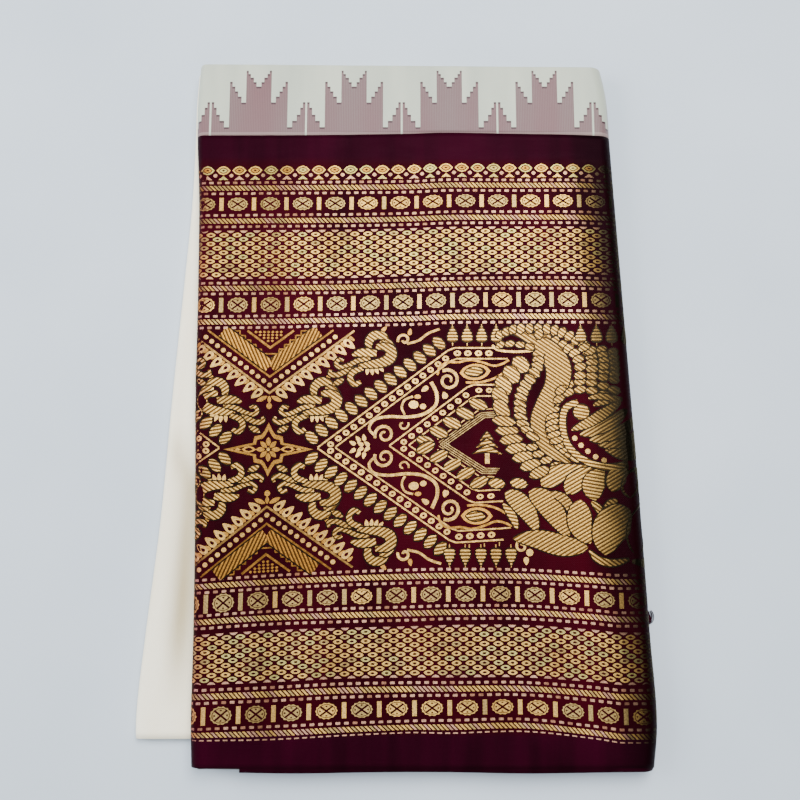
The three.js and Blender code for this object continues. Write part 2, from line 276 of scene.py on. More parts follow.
# ---- nodes ----
def setInputs(tree, node, inputs):
    # another node's output is linked, and anything else is set
    for name, value in inputs.items():
        if isinstance(value, bpy.types.NodeSocket):
            tree.links.new(value, node.inputs[name])
        else:
            node.inputs[name].default_value = value


def addNode(tree, kind, inputs=None, **settings):
    node = tree.nodes.new("ShaderNode" + kind)
    for name, value in settings.items():
        setattr(node, name, value)
    setInputs(tree, node, inputs or {})
    return node


def mathNode(tree, operation, *values):
    return addNode(tree, "Math", dict(enumerate(values)), operation=operation).outputs[0]


def mixColour(tree, factor, a, b, blend="MIX"):
    node = addNode(tree, "Mix", {"Factor": factor, "A": a, "B": b}, data_type="RGBA", blend_type=blend)
    return node.outputs["Result"]


def mapRange(tree, value, source, target, **settings):
    inputs = {"Value": value, "From Min": source[0], "From Max": source[1]}
    inputs.update({"To Min": target[0], "To Max": target[1]})
    return addNode(tree, "MapRange", inputs, **settings).outputs["Result"]


def partsOf(tree, vector):
    return addNode(tree, "SeparateXYZ", {0: vector}).outputs


def streaks(tree, vector, scale, low, high, detail=2.0):
    # soft uneven bands, stretched by the scale along each direction
    stretched = addNode(tree, "Mapping", {"Vector": vector, "Scale": scale}).outputs["Vector"]
    noise = addNode(tree, "TexNoise", {"Vector": stretched, "Scale": 1.0, "Detail": detail})
    return mapRange(tree, noise.outputs["Fac"], (0.3, 0.7), (low, high))


def newMaterial(name):
    material = bpy.data.materials.new(name)
    material.use_nodes = True
    tree = material.node_tree
    return material, tree, tree.nodes["Principled BSDF"]


def linear(red, green, blue):
    def channel(c):
        return ((c / 255 + 0.055) / 1.055) ** 2.4 if c > 10 else c / 255 / 12.92

    return channel(red), channel(green), channel(blue), 1


# ---- camera, floor and light ----
view = {"place": (0.0017, -0.0996, 0.73704), "tilt": 7.757, "lens": 38.25}
bpy.ops.object.select_all(action="DESELECT")
bpy.ops.object.camera_add(location=view["place"], rotation=(math.radians(view["tilt"]), 0, 0))
camera = bpy.context.object
camera.data.lens = view["lens"]
camera.data.sensor_width = 36
camera.data.clip_start = 0.01
bpy.context.scene.camera = camera

stage = {"size": 6, "below": 0.0003}
bpy.ops.mesh.primitive_plane_add(size=stage["size"], location=(0, 0, -stage["below"]))
floor = bpy.context.object
floor.name = "floor"


def makeFloorCloth():
    material, tree, shader = newMaterial("floorCloth")
    position = addNode(tree, "TexCoord").outputs["Object"]
    cloudy = streaks(tree, position, (6, 6, 6), 0.0, 1.0)
    colour = mixColour(tree, cloudy, linear(184, 196, 208), linear(192, 203, 214))
    setInputs(tree, shader, {"Base Color": colour, "Roughness": 0.9})
    return material


floor.data.materials.append(makeFloorCloth())

lights = [
    # name, place, aimed at, size, power, colour
    ("overhead", (0.24, 0.6, 1.5), (0, 0, 0), 1.1, 50.0, (1.0, 0.985, 0.97)),
    ("window", (-1.3, 0.2, 1.0), (0, 0, 0), 0.9, 21.0, (0.95, 0.98, 1.0)),
    ("front", (0.3, -1.3, 1.1), (0, 0, 0), 0.9, 8.0, (1.0, 0.97, 0.94)),
]
for name, place, aim, size, power, colour in lights:
    bpy.ops.object.light_add(type="AREA", location=place)
    lamp = bpy.context.object
    lamp.name = name
    lamp.data.shape, lamp.data.size = "DISK", size
    lamp.data.energy, lamp.data.color = power, colour
    way = np.array(aim) - np.array(place)
    lamp.rotation_euler = (math.atan2(math.hypot(way[0], way[1]), -way[2]), 0, math.atan2(-way[0], way[1]))

# the surroundings are brighter on the left
world = bpy.data.worlds.new("studio")
bpy.context.scene.world = world
world.use_nodes = True
sky = world.node_tree
around = partsOf(sky, addNode(sky, "TexCoord").outputs["Generated"])
setInputs(sky, sky.nodes["Background"], {
    "Strength": mapRange(sky, around[0], (-0.8, 0.8), (0.95, 0.35)), "Color": (0.80, 0.86, 0.92, 1),
})
print("camera, floor and light are set")

# ---- materials ----
weave = {"threads": 1300.0, "depth": 0.0002}      # threads to the metre, and how deep the bump is, in metres


def makeWeaveGroup():
    # threads over and under each other: a height, and a shade that is darker between threads
    group = bpy.data.node_groups.new("plainWeave", "ShaderNodeTree")
    group.interface.new_socket("Vector", in_out="INPUT", socket_type="NodeSocketVector")
    threads = group.interface.new_socket("Threads", in_out="INPUT", socket_type="NodeSocketFloat")
    threads.default_value = weave["threads"]
    for label in ("Height", "Shade"):
        group.interface.new_socket(label, in_out="OUTPUT", socket_type="NodeSocketFloat")
    given, results = group.nodes.new("NodeGroupInput").outputs, group.nodes.new("NodeGroupOutput")
    waves = []
    for part in partsOf(group, given["Vector"])[:2]:
        along = mathNode(group, "MULTIPLY", part, given["Threads"])
        waves.append(mathNode(group, "SINE", mathNode(group, "MULTIPLY", along, math.pi)))
    height = mathNode(group, "MULTIPLY", waves[0], waves[1])
    slub = streaks(group, given["Vector"], (60, 900, 60), -0.5, 0.5)
    setInputs(group, results, {
        "Height": mathNode(group, "ADD", height, slub),
        "Shade": mathNode(group, "MULTIPLY_ADD", height, 0.05, 1.0),
    })
    return group


plainWeave = makeWeaveGroup()


def woven(tree, shader, vector, colour, strength=0.35):
    # gives the shader the weave's bump, and the colour with the weave's shade
    node = addNode(tree, "Group", {"Vector": vector, "Threads": weave["threads"]}, node_tree=plainWeave)
    raised = {"Strength": strength, "Distance": weave["depth"], "Height": node.outputs["Height"]}
    bump = addNode(tree, "Bump", raised)
    shaded = mixColour(tree, 1.0, colour, node.outputs["Shade"], "MULTIPLY")
    setInputs(tree, shader, {"Normal": bump.outputs["Normal"], "Base Color": shaded})


def uvOf(tree):
    return addNode(tree, "UVMap", uv_map="weave").outputs["UV"]


maroonSilk = {
    "low": linear(20, 0, 6), "high": linear(33, 0, 13), "broad": linear(52, 1, 24),
    "roughness": 0.46, "sheen": 0.005, "gloss": 0.05, "sheenTint": (0.9, 0.3, 0.5, 1),
}
ivorySilk = {
    "low": linear(250, 240, 212), "high": linear(255, 249, 226), "broad": linear(255, 246, 220),
    "roughness": 0.5, "sheen": 0.4, "gloss": 0.45, "sheenTint": (1, 0.98, 0.94, 1),
}


def makeSilk(name, silk, tinted=False):
    material, tree, shader = newMaterial(name)
    vector = uvOf(tree)
    columns = streaks(tree, vector, (55, 4, 1), 0.0, 1.0, 3.0)
    colour = mixColour(tree, columns, silk["low"], silk["high"])
    colour = mixColour(tree, streaks(tree, vector, (9, 5, 1), -0.4, 0.55), colour, silk["broad"])
    if tinted:
        # the tint attribute holds painted shade at the right fold and in the leaf's valley, and the browner
        # banded ground
        tint = addNode(tree, "Attribute", attribute_name="tint").outputs["Color"]
        colour = mixColour(tree, 1.0, colour, tint, "MULTIPLY")
    woven(tree, shader, vector, colour)
    setInputs(tree, shader, {
        "Roughness": streaks(tree, vector, (30, 240, 1), silk["roughness"] - 0.06, silk["roughness"] + 0.06),
        "Sheen Weight": silk["sheen"], "Sheen Roughness": 0.4, "Sheen Tint": silk["sheenTint"],
        "Specular IOR Level": silk["gloss"], "Specular Tint": silk["sheenTint"],
    })
    return material


borderSilk = makeSilk("borderSilk", maroonSilk)
outerSilk = makeSilk("outerSilk", maroonSilk, tinted=True)
leafSilk = makeSilk("leafSilk", ivorySilk, tinted=True)

# the stepped teeth where border and body interlock, in millimetres
templePlan = {
    "repeat": 84.8, "middle": 45.6, "base": 233.5, "tallest": 64.0,
    "tip": 1.7,          # the dark tip of each step
    "foot": 3.0,         # the pale strip along the foot
    "lines": 1.5,        # from one fine line to the next
}
templeSteps = [
    # how far from a temple's middle each step starts, and how high it is
    (0.0, 46.0), (2.1, 50.2), (4.6, 54.4), (7.3, 57.9), (9.3, 61.0), (11.2, 30.9), (15.2, 36.5),
    (18.3, 41.4), (21.0, 45.9), (23.4, 50.5), (25.7, 7.8), (30.0, 13.7), (34.0, 19.4), (37.0, 26.0),
    (39.3, 31.2), (41.5, 0.0),
]


def templeTop(tree, away, half):
    # how high the temple stands at a distance from its middle: a staircase in a colour ramp
    steps = addNode(tree, "ValToRGB", {"Fac": mathNode(tree, "DIVIDE", away, half)})
    ramp = steps.color_ramp
    ramp.interpolation = "CONSTANT"
    while len(ramp.elements) < len(templeSteps):
        ramp.elements.new(0.5)
    for element, (distance, height) in zip(ramp.elements, templeSteps):
        element.position = distance / half
        element.color = (height / templePlan["tallest"],) * 3 + (1,)
    return mathNode(tree, "MULTIPLY", steps.outputs["Color"], templePlan["tallest"])


def makeTempleSilk():
    material, tree, shader = newMaterial("templeSilk")
    vector = uvOf(tree)
    parts = partsOf(tree, vector)
    half = templePlan["repeat"] / 2
    across = mathNode(tree, "MULTIPLY_ADD", parts[0], 1000.0, -templePlan["middle"])
    above = mathNode(tree, "MULTIPLY_ADD", parts[1], 1000.0, -templePlan["base"])
    top = templeTop(tree, mathNode(tree, "PINGPONG", across, half), half)
    below = mathNode(tree, "SUBTRACT", top, above)      # millimetres below the step's top
    inside = mathNode(tree, "GREATER_THAN", below, 0.0)
    tip = mathNode(tree, "MULTIPLY", inside, mathNode(tree, "LESS_THAN", below, templePlan["tip"]))
    # the mauve is maroon and ivory threads side by side
    fine = mathNode(tree, "SINE", mathNode(tree, "MULTIPLY", across, 2 * math.pi / templePlan["lines"]))
    lines = mathNode(tree, "MULTIPLY_ADD", fine, 0.3, 0.4)
    deeper = streaks(tree, vector, (26, 5, 1), 0.0, 0.75, 3.0)
    mauve = mixColour(tree, deeper, linear(112, 96, 94), linear(108, 62, 68))
    mauve = mixColour(tree, lines, mauve, linear(86, 56, 60))
    foot = mathNode(tree, "MULTIPLY", mathNode(tree, "LESS_THAN", above, templePlan["foot"]), 0.28)
    mauve = mixColour(tree, foot, mauve, linear(186, 166, 158))
    mauve = mixColour(tree, tip, mauve, linear(50, 14, 26))
    columns = streaks(tree, vector, (40, 6, 1), 0.0, 1.0)
    ivory = mixColour(tree, columns, linear(160, 167, 152), linear(178, 183, 166))
    woven(tree, shader, vector, mixColour(tree, inside, ivory, mauve))
    setInputs(tree, shader, {"Roughness": 0.5, "Sheen Weight": 0.2, "Specular IOR Level": 0.4})
    return material


templeSilk = makeTempleSilk()
hatchPitch = 2.8      # from one dark line of the hatching to the next, in millimetres


def makeZari():
    # the attribute thread is the colour; hatch is the way across the lines, as long as they are strong
    material, tree, shader = newMaterial("zari")
    vector = uvOf(tree)
    thread = addNode(tree, "Attribute", attribute_name="thread").outputs["Color"]
    hatch = addNode(tree, "Attribute", attribute_name="hatch").outputs["Vector"]
    along = addNode(tree, "VectorMath", {0: vector, 1: hatch}, operation="DOT_PRODUCT").outputs["Value"]
    strength = addNode(tree, "VectorMath", {0: hatch}, operation="LENGTH").outputs["Value"]
    wave = mathNode(tree, "SINE", mathNode(tree, "MULTIPLY", along, 2 * math.pi * 1000 / hatchPitch))
    line = mapRange(tree, wave, (-0.75, 0.5), (0.0, 1.0), interpolation_type="SMOOTHSTEP")
    groove = mathNode(tree, "MULTIPLY", line, strength)
    picks = streaks(tree, vector, (700, 900, 1), 0.5, 1.25)
    colour = mixColour(tree, 1.0, thread, picks, "MULTIPLY")
    darker = mixColour(tree, 1.0, colour, (0.13, 0.09, 0.045, 1), "MULTIPLY")
    threads = mathNode(tree, "SUBTRACT", picks, groove)
    bump = addNode(tree, "Bump", {"Strength": 0.3, "Distance": weave["depth"], "Height": threads})
    setInputs(tree, shader, {
        "Base Color": mixColour(tree, groove, colour, darker), "Normal": bump.outputs["Normal"],
        "Metallic": 0.55, "Roughness": 0.42, "Specular IOR Level": 0.2, "Specular Tint": (1.0, 0.82, 0.5, 1),
    })
    return material


zari = makeZari()
print("materials are made")

# ---- the outer ply: border and body strip ----
bow = {
    # how far the bands lie from their level at x = 40, because the cloth was not drawn quite straight
    "x": [-170, -110, -50, 10, 40, 100, 155, 178],
    "y": [-300, -273, -262, -230, -183, -142, 65, 104, 203, 237],
    "shift": [
        [-0.3, 0, 0, 0, 0, 0, 0, -0.3], [-6, -5, -2, 0.5, 0, 1.5, -4, -7.5],
        [-7.5, -5, -2.5, -0.5, 0, 1, -4.5, -7.5], [-6.5, -4, -1, 0, 0, 0, -3.5, -6],
        [-8.5, -4.5, -2.5, -1, 0, 0, -3.5, -6], [-9.5, -5.5, -2.5, -0.5, 0, -0.5, -3.5, -5],
        [-4.5, -4, -2.5, -1.5, 0, 0.5, 0.5, 0], [-4, -3.5, -3, -1, 0, 1, 1, 0],
        [-3, -2.5, -2, -1.5, 0, -0.5, -0.5, -1.5], [-2.5, -2.5, -2, -1, 0, -1, -2, -3],
    ],
}


def bowAt(p, y):
    lines = np.stack([smoothLine(bow["x"], row, p) for row in bow["shift"]])
    level = np.clip(np.asarray(y, float), bow["y"][0], bow["y"][-1])
    row = np.clip(np.searchsorted(bow["y"], level) - 1, 0, len(bow["y"]) - 2)
    knots = np.asarray(bow["y"], float)
    t = (level - knots[row]) / (knots[row + 1] - knots[row])
    picked = np.take_along_axis(lines, row[None], 0)[0], np.take_along_axis(lines, row[None] + 1, 0)[0]
    return picked[0] * (1 - t) + picked[1] * t


# the return on the left, the left fold, the top, the right fold and the underside: length, step
outerSpans = [(9.0, 4.5), (24.0, 1.2), (368.0, 3.0), (37.7, 1.4), (320.0, 12.0)]


def outerStations(y):
    # where the ply's columns run, from the end of the return on the left to the end underneath
    left, right = foldLines(y)
    shares = stations(*outerSpans)
    marks = np.cumsum([0.0] + [length for length, step in outerSpans])
    places = [
        left - math.pi * packet["upperRadius"] - packet["upperReturn"],
        left - math.pi * packet["upperRadius"], left, right, right + math.pi * packet["rightRadius"],
        2 * right + math.pi * packet["rightRadius"] - packet["underEndX"],
    ]
    return np.interp(shares, marks, places)


def frontEdge(p, y):
    # the selvedge runs straight on the top, and goes farther out round the right fold
    right = foldLines(y)[1]
    rolled = smoothStep(0, 1, (p - right) / (math.pi * packet["rightRadius"]))
    return packet["selvedgeY"] + (packet["underSelvedgeY"] - packet["selvedgeY"]) * rolled


def joinAt(p):
    # where border and body meet, with the cloth's bow
    return packet["joinY"] + bowAt(p, np.full_like(p, bow["y"][-1]))


def borderGrid():
    rows = []
    for level in np.linspace(0, 1, gridRows["border"]):
        middle = packet["selvedgeY"] + level * (packet["joinY"] - packet["selvedgeY"])
        p = outerStations(middle)
        front = frontEdge(p, middle)
        rows.append((p, front + (joinAt(p) - front) * level))
    p, y = (np.stack([row[k] for row in rows]) for k in (0, 1))
    return outerPlace(p, y, 0), outerPlace(p, y, -packet["ply"]), np.stack([p, y], -1)


# the ground is browner where the zari floats are bound into it: between these levels, by these shares;
# foldShade is how much the painted shade at the right fold darkens it
bandedGround = {"front": (-276, -270), "back": (213, 207), "tint": (0.25, 0.2, -0.58), "foldShade": 0.75}


def borderTint(p, y):
    front, back = (smoothStep(*bandedGround[edge], y) for edge in ("front", "back"))
    tint = 1 + (front * back)[..., None] * np.array(bandedGround["tint"])
    # painted shade: the silk is painted darker at the right fold, where it faces away from the light
    tint = tint * (1 - bandedGround["foldShade"] * foldShade(p, y))[..., None]
    return withAlpha(np.tile(tint.reshape(-1, 3), (2, 1)))


outer, inner, uv = borderGrid()
tint = borderTint(uv[..., 0], uv[..., 1])
outerBorder = addCloth("outerBorder", outer, inner, uv, {"tint": ("FLOAT_COLOR", tint)})
outerBorder.data.materials.append(outerSilk)
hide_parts("border_top", "border_left_fold", "border_right_fold", "border_under")

# the doubled back edge: its radius inside, how far the cloth runs back below, and steps round the turn
backTurn = {"radius": packet["ply"] + 0.15, "back": 11, "steps": 8, "slopeStart": -170, "slopeLength": 370}


def backLine(x):
    past = np.asarray(x, float) - backTurn["slopeStart"]
    return -packet["backSlope"] * np.clip(past, 0, backTurn["slopeLength"])


def turnSteps():
    return [math.pi * k / backTurn["steps"] for k in range(1, backTurn["steps"] + 1)]


def bodyStripGrid():
    # from the join to the back fold, and a little way back inside
    radius, back = backTurn["radius"], backTurn["back"]
    middle = packet["backFoldY"] - radius
    outerRows, innerRows, uvRows = [], [], []

    def addRow(p, y, depth, turn, across):
        outerRows.append(outerPlace(p, y, 0) if depth == 0 else sunk(p, y, depth, turn, 0))
        innerRows.append(sunk(p, y, depth, turn, packet["ply"]))
        uvRows.append(np.stack([p, across], -1))

    def sunk(p, y, depth, turn, below):
        # down from the outer face by depth, then into the ply by its thickness
        base = outerPlace(p, y, -depth)
        out = outerPlace(p, y, 1) - outerPlace(p, y, 0)
        lean = out * math.cos(turn)
        lean[..., 1] += math.sin(turn)
        return base - lean * below

    for share in np.linspace(0, 1, gridRows["body"]):
        p = outerStations(packet["joinY"] + share * (middle - packet["joinY"]))
        join = joinAt(p)
        y = join + share * (middle + backLine(p) - join)
        addRow(p, y, 0, 0, y)
    p = outerStations(middle)
    for turn in turnSteps():
        y = middle + radius * math.sin(turn) + backLine(p)
        addRow(p, y, radius * (1 - math.cos(turn)), turn, np.full_like(p, middle + radius * turn))
    y = middle - back + backLine(p)
    addRow(p, y, 2 * radius, math.pi, np.full_like(p, middle + radius * math.pi + back))
    return np.stack(outerRows), np.stack(innerRows), np.stack(uvRows)


outer, inner, uv = bodyStripGrid()
outerBody = addCloth("outerBody", outer, inner, uv)
outerBody.data.materials.append(templeSilk)
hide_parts("body_top", "body_left_fold", "body_right_fold", "body_under")
print("the outer ply is made")

# ---- the loose leaf ----
looseLeaf = {"selvedge": -281.0, "backFold": 300.0, "topEnd": -150.0, "underEnd": -127.3}


def leafPlace(s, y, rise):
    # s runs from the underside's end, round the left fold and in over the top
    s, y, rise = (np.array(a, float) for a in np.broadcast_arrays(s, y, rise))
    radius = packet["leafHeight"] / 2
    middle = edgeAt("leafLeft", y) + radius
    under = looseLeaf["underEnd"] - middle
    angle = np.clip((s - under) / radius, 0, math.pi)
    over = np.maximum(s - under - math.pi * radius, 0)
    x = np.where(s < under, looseLeaf["underEnd"] - s, middle - radius * np.sin(angle) + over)
    overTop = s - under >= math.pi * radius

    def height(px, py):
        swell = swellAt(leafSwells, px, py) - leafValley["deep"] * valleyAt(px, py)
        return packet["leafHeight"] + swell * smoothStep(0, 8, px - middle)

    z = np.where(s < under, 0, radius - radius * np.cos(angle))
    z = np.where(overTop, height(x, y), z)
    slopeX, slopeY = slopes(height, x, y)
    nx, ny = np.where(overTop, slopeX, -np.sin(angle)), np.where(overTop, slopeY, 0)
    nz = np.where(overTop, 1.0, -np.cos(angle))
    size = np.sqrt(nx * nx + ny * ny + nz * nz)
    normal = np.stack([nx / size, ny / size, nz / size], -1)
    return np.stack([x, y, z], -1) + normal * rise[..., None], normal


# the underside, the fold and the top: length, step
leafSpans = [(85, 12.0), (13.2, 1.1), (62, 2.5)]


def leafGrid():
    radius = packet["leafHeight"] / 2
    turnRadius, back = backTurn["radius"], backTurn["back"]
    middleY = looseLeaf["backFold"] - turnRadius
    marks = np.cumsum([0.0] + [length for length, step in leafSpans])
    outerRows, innerRows, uvRows = [], [], []

    def addRow(y, depth, turn, across):
        middle = edgeAt("leafLeft", y) + radius
        under = looseLeaf["underEnd"] - middle
        total = under + math.pi * radius + looseLeaf["topEnd"] - middle
        places = [0.0, under, under + math.pi * radius, total]
        s = np.interp(stations(*leafSpans), marks, places)
        base, normal = leafPlace(s, y, -depth)
        lean = normal * math.cos(turn)
        lean[:, 1] += math.sin(turn)
        outerRows.append(base)
        innerRows.append(base - lean * packet["ply"])
        uvRows.append(np.stack([s, np.full_like(s, across)], -1))

    for y in np.linspace(looseLeaf["selvedge"], middleY, gridRows["leaf"]):
        addRow(y, 0, 0, y)
    for turn in turnSteps():
        addRow(middleY + turnRadius * math.sin(turn), turnRadius * (1 - math.cos(turn)), turn,
               middleY + turnRadius * turn)
    addRow(middleY - back, 2 * turnRadius, math.pi, middleY + turnRadius * math.pi + back)
    return np.stack(outerRows), np.stack(innerRows), np.stack(uvRows)


outer, inner, uv = leafGrid()
leafPoints = np.concatenate([outer.reshape(-1, 3), inner.reshape(-1, 3)])
# painted shade along the loose leaf's valley, on its top face only
shade = valleyAt(leafPoints[:, 0], leafPoints[:, 1]) * (leafPoints[:, 2] > leafValley["above"])
tint = withAlpha(1 + shade[:, None] * (np.array(leafValley["tint"]) - 1))
leafPiece = addCloth("looseLeaf", outer, inner, uv, {"tint": ("FLOAT_COLOR", tint)})
leafPiece.data.materials.append(leafSilk)
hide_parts("body_loose_leaf")
print("the loose leaf is made")

# ---- the second ply, which shows along the front ----
secondPly = {
    "top": 23.2, "start": -127.0, "front": -303.2, "end": 228.0, "radius": 11.2,
    "wave": 0.5, "waveLength": 31, "waveReach": 40,      # the selvedge's own slow wave
}


def secondGrid():
    rows = []
    for y in np.linspace(secondPly["front"], secondPly["end"], gridRows["second"]):
        right = foldLines(y)[1]
        flat, fold = np.linspace(secondPly["start"], right, 60), right + np.linspace(1.2, 15, 12)
        along = np.concatenate([flat, fold])
        angle = np.maximum(along - right, 0) / secondPly["radius"]
        x = np.where(along > right, right + secondPly["radius"] * np.sin(angle), along)
        drop = secondPly["radius"] * (1 - np.cos(angle))
        z = secondPly["top"] + topRise(np.minimum(x, right), y) - drop
        front = smoothStep(secondPly["front"] + secondPly["waveReach"], secondPly["front"], y)
        wave = secondPly["wave"] * np.sin(x / secondPly["waveLength"] + 1.0) * front
        normal = np.stack([np.sin(angle), np.zeros_like(angle), np.cos(angle)], -1)
        point = np.stack([x, y + wave, z], -1)
        rows.append((point, point - normal * packet["ply"], np.stack([along, np.full_like(x, y)], -1)))
    return tuple(np.stack([r[k] for r in rows]) for k in range(3))


outer, inner, uv = secondGrid()
secondPiece = addCloth("secondPly", outer, inner, uv)
secondPiece.data.materials.append(borderSilk)
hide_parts("border_second_ply")

# ---- the rest of the length, folded to and fro inside ----
innerLength = {
    "leaves": 14, "lowest": 0.95, "highest": 22.35, "ply": 0.5, "apart": 0.38,
    "front": -300.2, "back": 299.2, "bodySelvedge": -281.5,
    "inset": 2.0,                          # how far the folds stay inside the outer plies' outer face
    "leafTop": 4.8, "gapTop": 8.7, "returnTop": 10.9,      # what lies beside the folds up to each height
    "width": 1180.0, "border": 597, "body": 578,           # across the cloth, selvedge to turn
    "join": 536,
}


def roundReach(radius, offset):
    # how far a fold of this radius reaches at a height above or below its middle
    reach = radius - innerLength["inset"]
    return math.sqrt(max(reach ** 2 - offset ** 2, 0))


def innerEnds(z, y):
    # the farthest left and right that a leaf's fold reaches at a height
    leafRadius, upperRadius = packet["leafHeight"] / 2, packet["upperRadius"]
    upperLine, rightLine = foldLines(y)
    if z < innerLength["leafTop"]:
        left = edgeAt("leafLeft", y) + leafRadius - roundReach(leafRadius, z - leafRadius)
    elif z < innerLength["gapTop"]:
        left = looseLeaf["topEnd"] + 2
    elif z < innerLength["returnTop"]:
        left = upperLine + packet["upperReturn"] + 2
    else:
        left = upperLine - roundReach(upperRadius, z - packet["height"] + upperRadius)
    return left + 1, rightLine + roundReach(packet["rightRadius"], z - packet["rightRadius"]) - 1


flatPlaces, turnAngles = 9, (30, 60, 90, 120, 150)
pointsPerLeaf = flatPlaces + 2 + len(turnAngles)


def innerPath(y):
    # middle line of the folded length in a section, with its outward way
    count = innerLength["leaves"]
    pitch = (innerLength["highest"] - innerLength["lowest"]) / count
    levels = [innerLength["lowest"] + pitch * (k + 0.5) for k in range(count)]
    ends = [innerEnds(z, y) for z in levels]
    turnRadius = pitch / 2
    path = []
    for k in range(count):
        way = 1 if k % 2 == 0 else -1
        here, before, after = (ends[min(max(j, 0), count - 1)][::way] for j in (k, k - 1, k + 1))
        # a fold reaches no farther than the shorter of the two leaves that it joins
        atStart, atFinish = (max, min)[::way]
        start = atStart(here[0], before[0]) + way * turnRadius
        finish = atFinish(here[1], after[1]) - way * turnRadius
        near, far = min(start, finish), max(start, finish)
        # two more places, where the lower leaves come out from under the upper ones
        edge = [-172, -165] if near < -173 else [near + 1, near + 2]
        for x in sorted(np.linspace(near, far, flatPlaces).tolist() + edge, reverse=way < 0):
            path.append((x, levels[k], 0.0, -float(way)))
        if k < count - 1:
            for turn in map(math.radians, turnAngles):
                path.append((finish + way * turnRadius * math.sin(turn),
                             levels[k] + turnRadius * (1 - math.cos(turn)),
                             way * math.sin(turn), -way * math.cos(turn)))
    return np.array(path)


def innerRows():
    # across the width: which stretch, its share from selvedge to turn, and how far it has turned
    shares = np.concatenate([[0.0, 0.004, 0.03], np.linspace(0.1, 0.94, 10)])
    there = [("border", share, 0.0) for share in shares]
    back = [("body", share, math.pi) for share in shares[::-1]]
    return there + [("turn", 1.0, math.pi * k / 6) for k in range(7)] + back


def innerGrid():
    apart, half = innerLength["apart"], innerLength["ply"] / 2
    points, inners, uvs = [], [], []
    for kind, share, turn in innerRows():
        front = innerLength["front"] if kind == "border" else innerLength["bodySelvedge"]
        level = front + share * (innerLength["back"] - front)
        section = innerPath(min(max(level, outlineY[0]), 300))
        x, z, nx, nz = section.T
        index = np.arange(len(section))
        leaf = index // pointsPerLeaf
        # the leaves don't end quite level
        atFront, atBack = 1.2 * np.sin(leaf * 2.4) + 0.7 * np.sin(index * 0.9), 0.9 * np.sin(leaf * 1.7)
        y = level + (1 - share) * atFront - share * atBack
        # beside the upper leaves they end with the loose leaf
        y = np.maximum(y, np.where(x < -168, looseLeaf["selvedge"] + 2.5, -400))
        y = y + share * backLine(x)
        if kind == "turn":
            y = y + apart * math.sin(turn)
        offset = apart * math.cos(turn)
        middle = np.stack([x + nx * offset, y, z + nz * offset], -1)
        lean = np.stack([nx * math.cos(turn), np.full_like(nx, math.sin(turn)), nz * math.cos(turn)], -1)
        points.append(middle + lean * half)
        inners.append(middle - lean * half)
        across = {
            "border": share * innerLength["border"], "turn": innerLength["border"] + 2 * turn,
            "body": innerLength["width"] - share * innerLength["body"],
        }[kind]
        along = np.concatenate([[0], np.cumsum(np.hypot(np.diff(x), np.diff(z)))])
        uvs.append(np.stack([along, np.full_like(along, across)], -1))
    return np.stack(points), np.stack(inners), np.stack(uvs)


def makeInnerSilk():
    # maroon as far as the join, ivory beyond it
    material, tree, shader = newMaterial("innerSilk")
    vector = uvOf(tree)
    isBody = mathNode(tree, "GREATER_THAN", partsOf(tree, vector)[1], innerLength["join"] * millimetre)
    columns = streaks(tree, vector, (40, 5, 1), 0.0, 1.0)
    border = mixColour(tree, columns, maroonSilk["low"], maroonSilk["high"])
    body = mixColour(tree, columns, ivorySilk["low"], ivorySilk["high"])
    woven(tree, shader, vector, mixColour(tree, isBody, border, body), strength=0.3)
    setInputs(tree, shader, {"Roughness": 0.5, "Sheen Weight": 0.2})
    return material


outer, inner, uv = innerGrid()
innerPiece = addCloth("innerLength", outer, inner, uv)
innerPiece.data.materials.append(makeInnerSilk())
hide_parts("inner_layers")
print("the inner length is made")

# ---- the corner of the cloth's inner end, with loose warp ends ----
endCorner = {
    "ply": 0.6, "lift": 0.15, "curl": 0.25,
    "level": -170, "inside": 7.2, "scale": 0.93,      # its reach is counted from in here, at this level
    # y from the back to the front, and how far it reaches out
    "y": [-158, -166, -173, -180, -187.6, -190.5], "reach": [0.0, 4.0, 8.8, 12.6, 15.4, 9.0],
}


def endGrid():
    points, uvs = [], []
    away = -np.array(endCorner["y"], float)
    base = edgeAt("right", endCorner["level"]) - endCorner["inside"]
    for y in np.linspace(endCorner["y"][-1], endCorner["y"][0], gridRows["end"]):
        inside, tucked = edgeAt("right", y) - packet["rightRadius"] + 1.0, edgeAt("right", y) - 9
        reach = base + np.interp(-y, away, endCorner["reach"]) * endCorner["scale"]
        far = np.maximum(reach, tucked + 1)
        x = np.linspace(inside, far, 14)
        t = (x - inside) / (far - inside)
        z = endCorner["lift"] + endCorner["ply"] + endCorner["curl"] * t * t
        level = np.full_like(x, y)
        points.append(np.stack([x, level, z], -1))
        uvs.append(np.stack([x, level], -1))
    outer = np.stack(points)
    return outer, outer - np.array([0, 0, endCorner["ply"]]), np.stack(uvs)


outer, inner, uv = endGrid()
endPiece = addCloth("innerEndCorner", outer, inner, uv)
endPiece.data.materials.append(borderSilk)
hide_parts("inner_end_corner")

tuftPlan = {
    # each thread leaves the edge, turns back towards the front and ends beside the corner
    "threads": 5, "radius": 0.22, "sides": 6, "middle": (211.6, -184.2, 0.75), "wide": 2.2, "long": 5.4,
    "wider": 0.55, "higher": 0.12,      # from one thread to the next
}


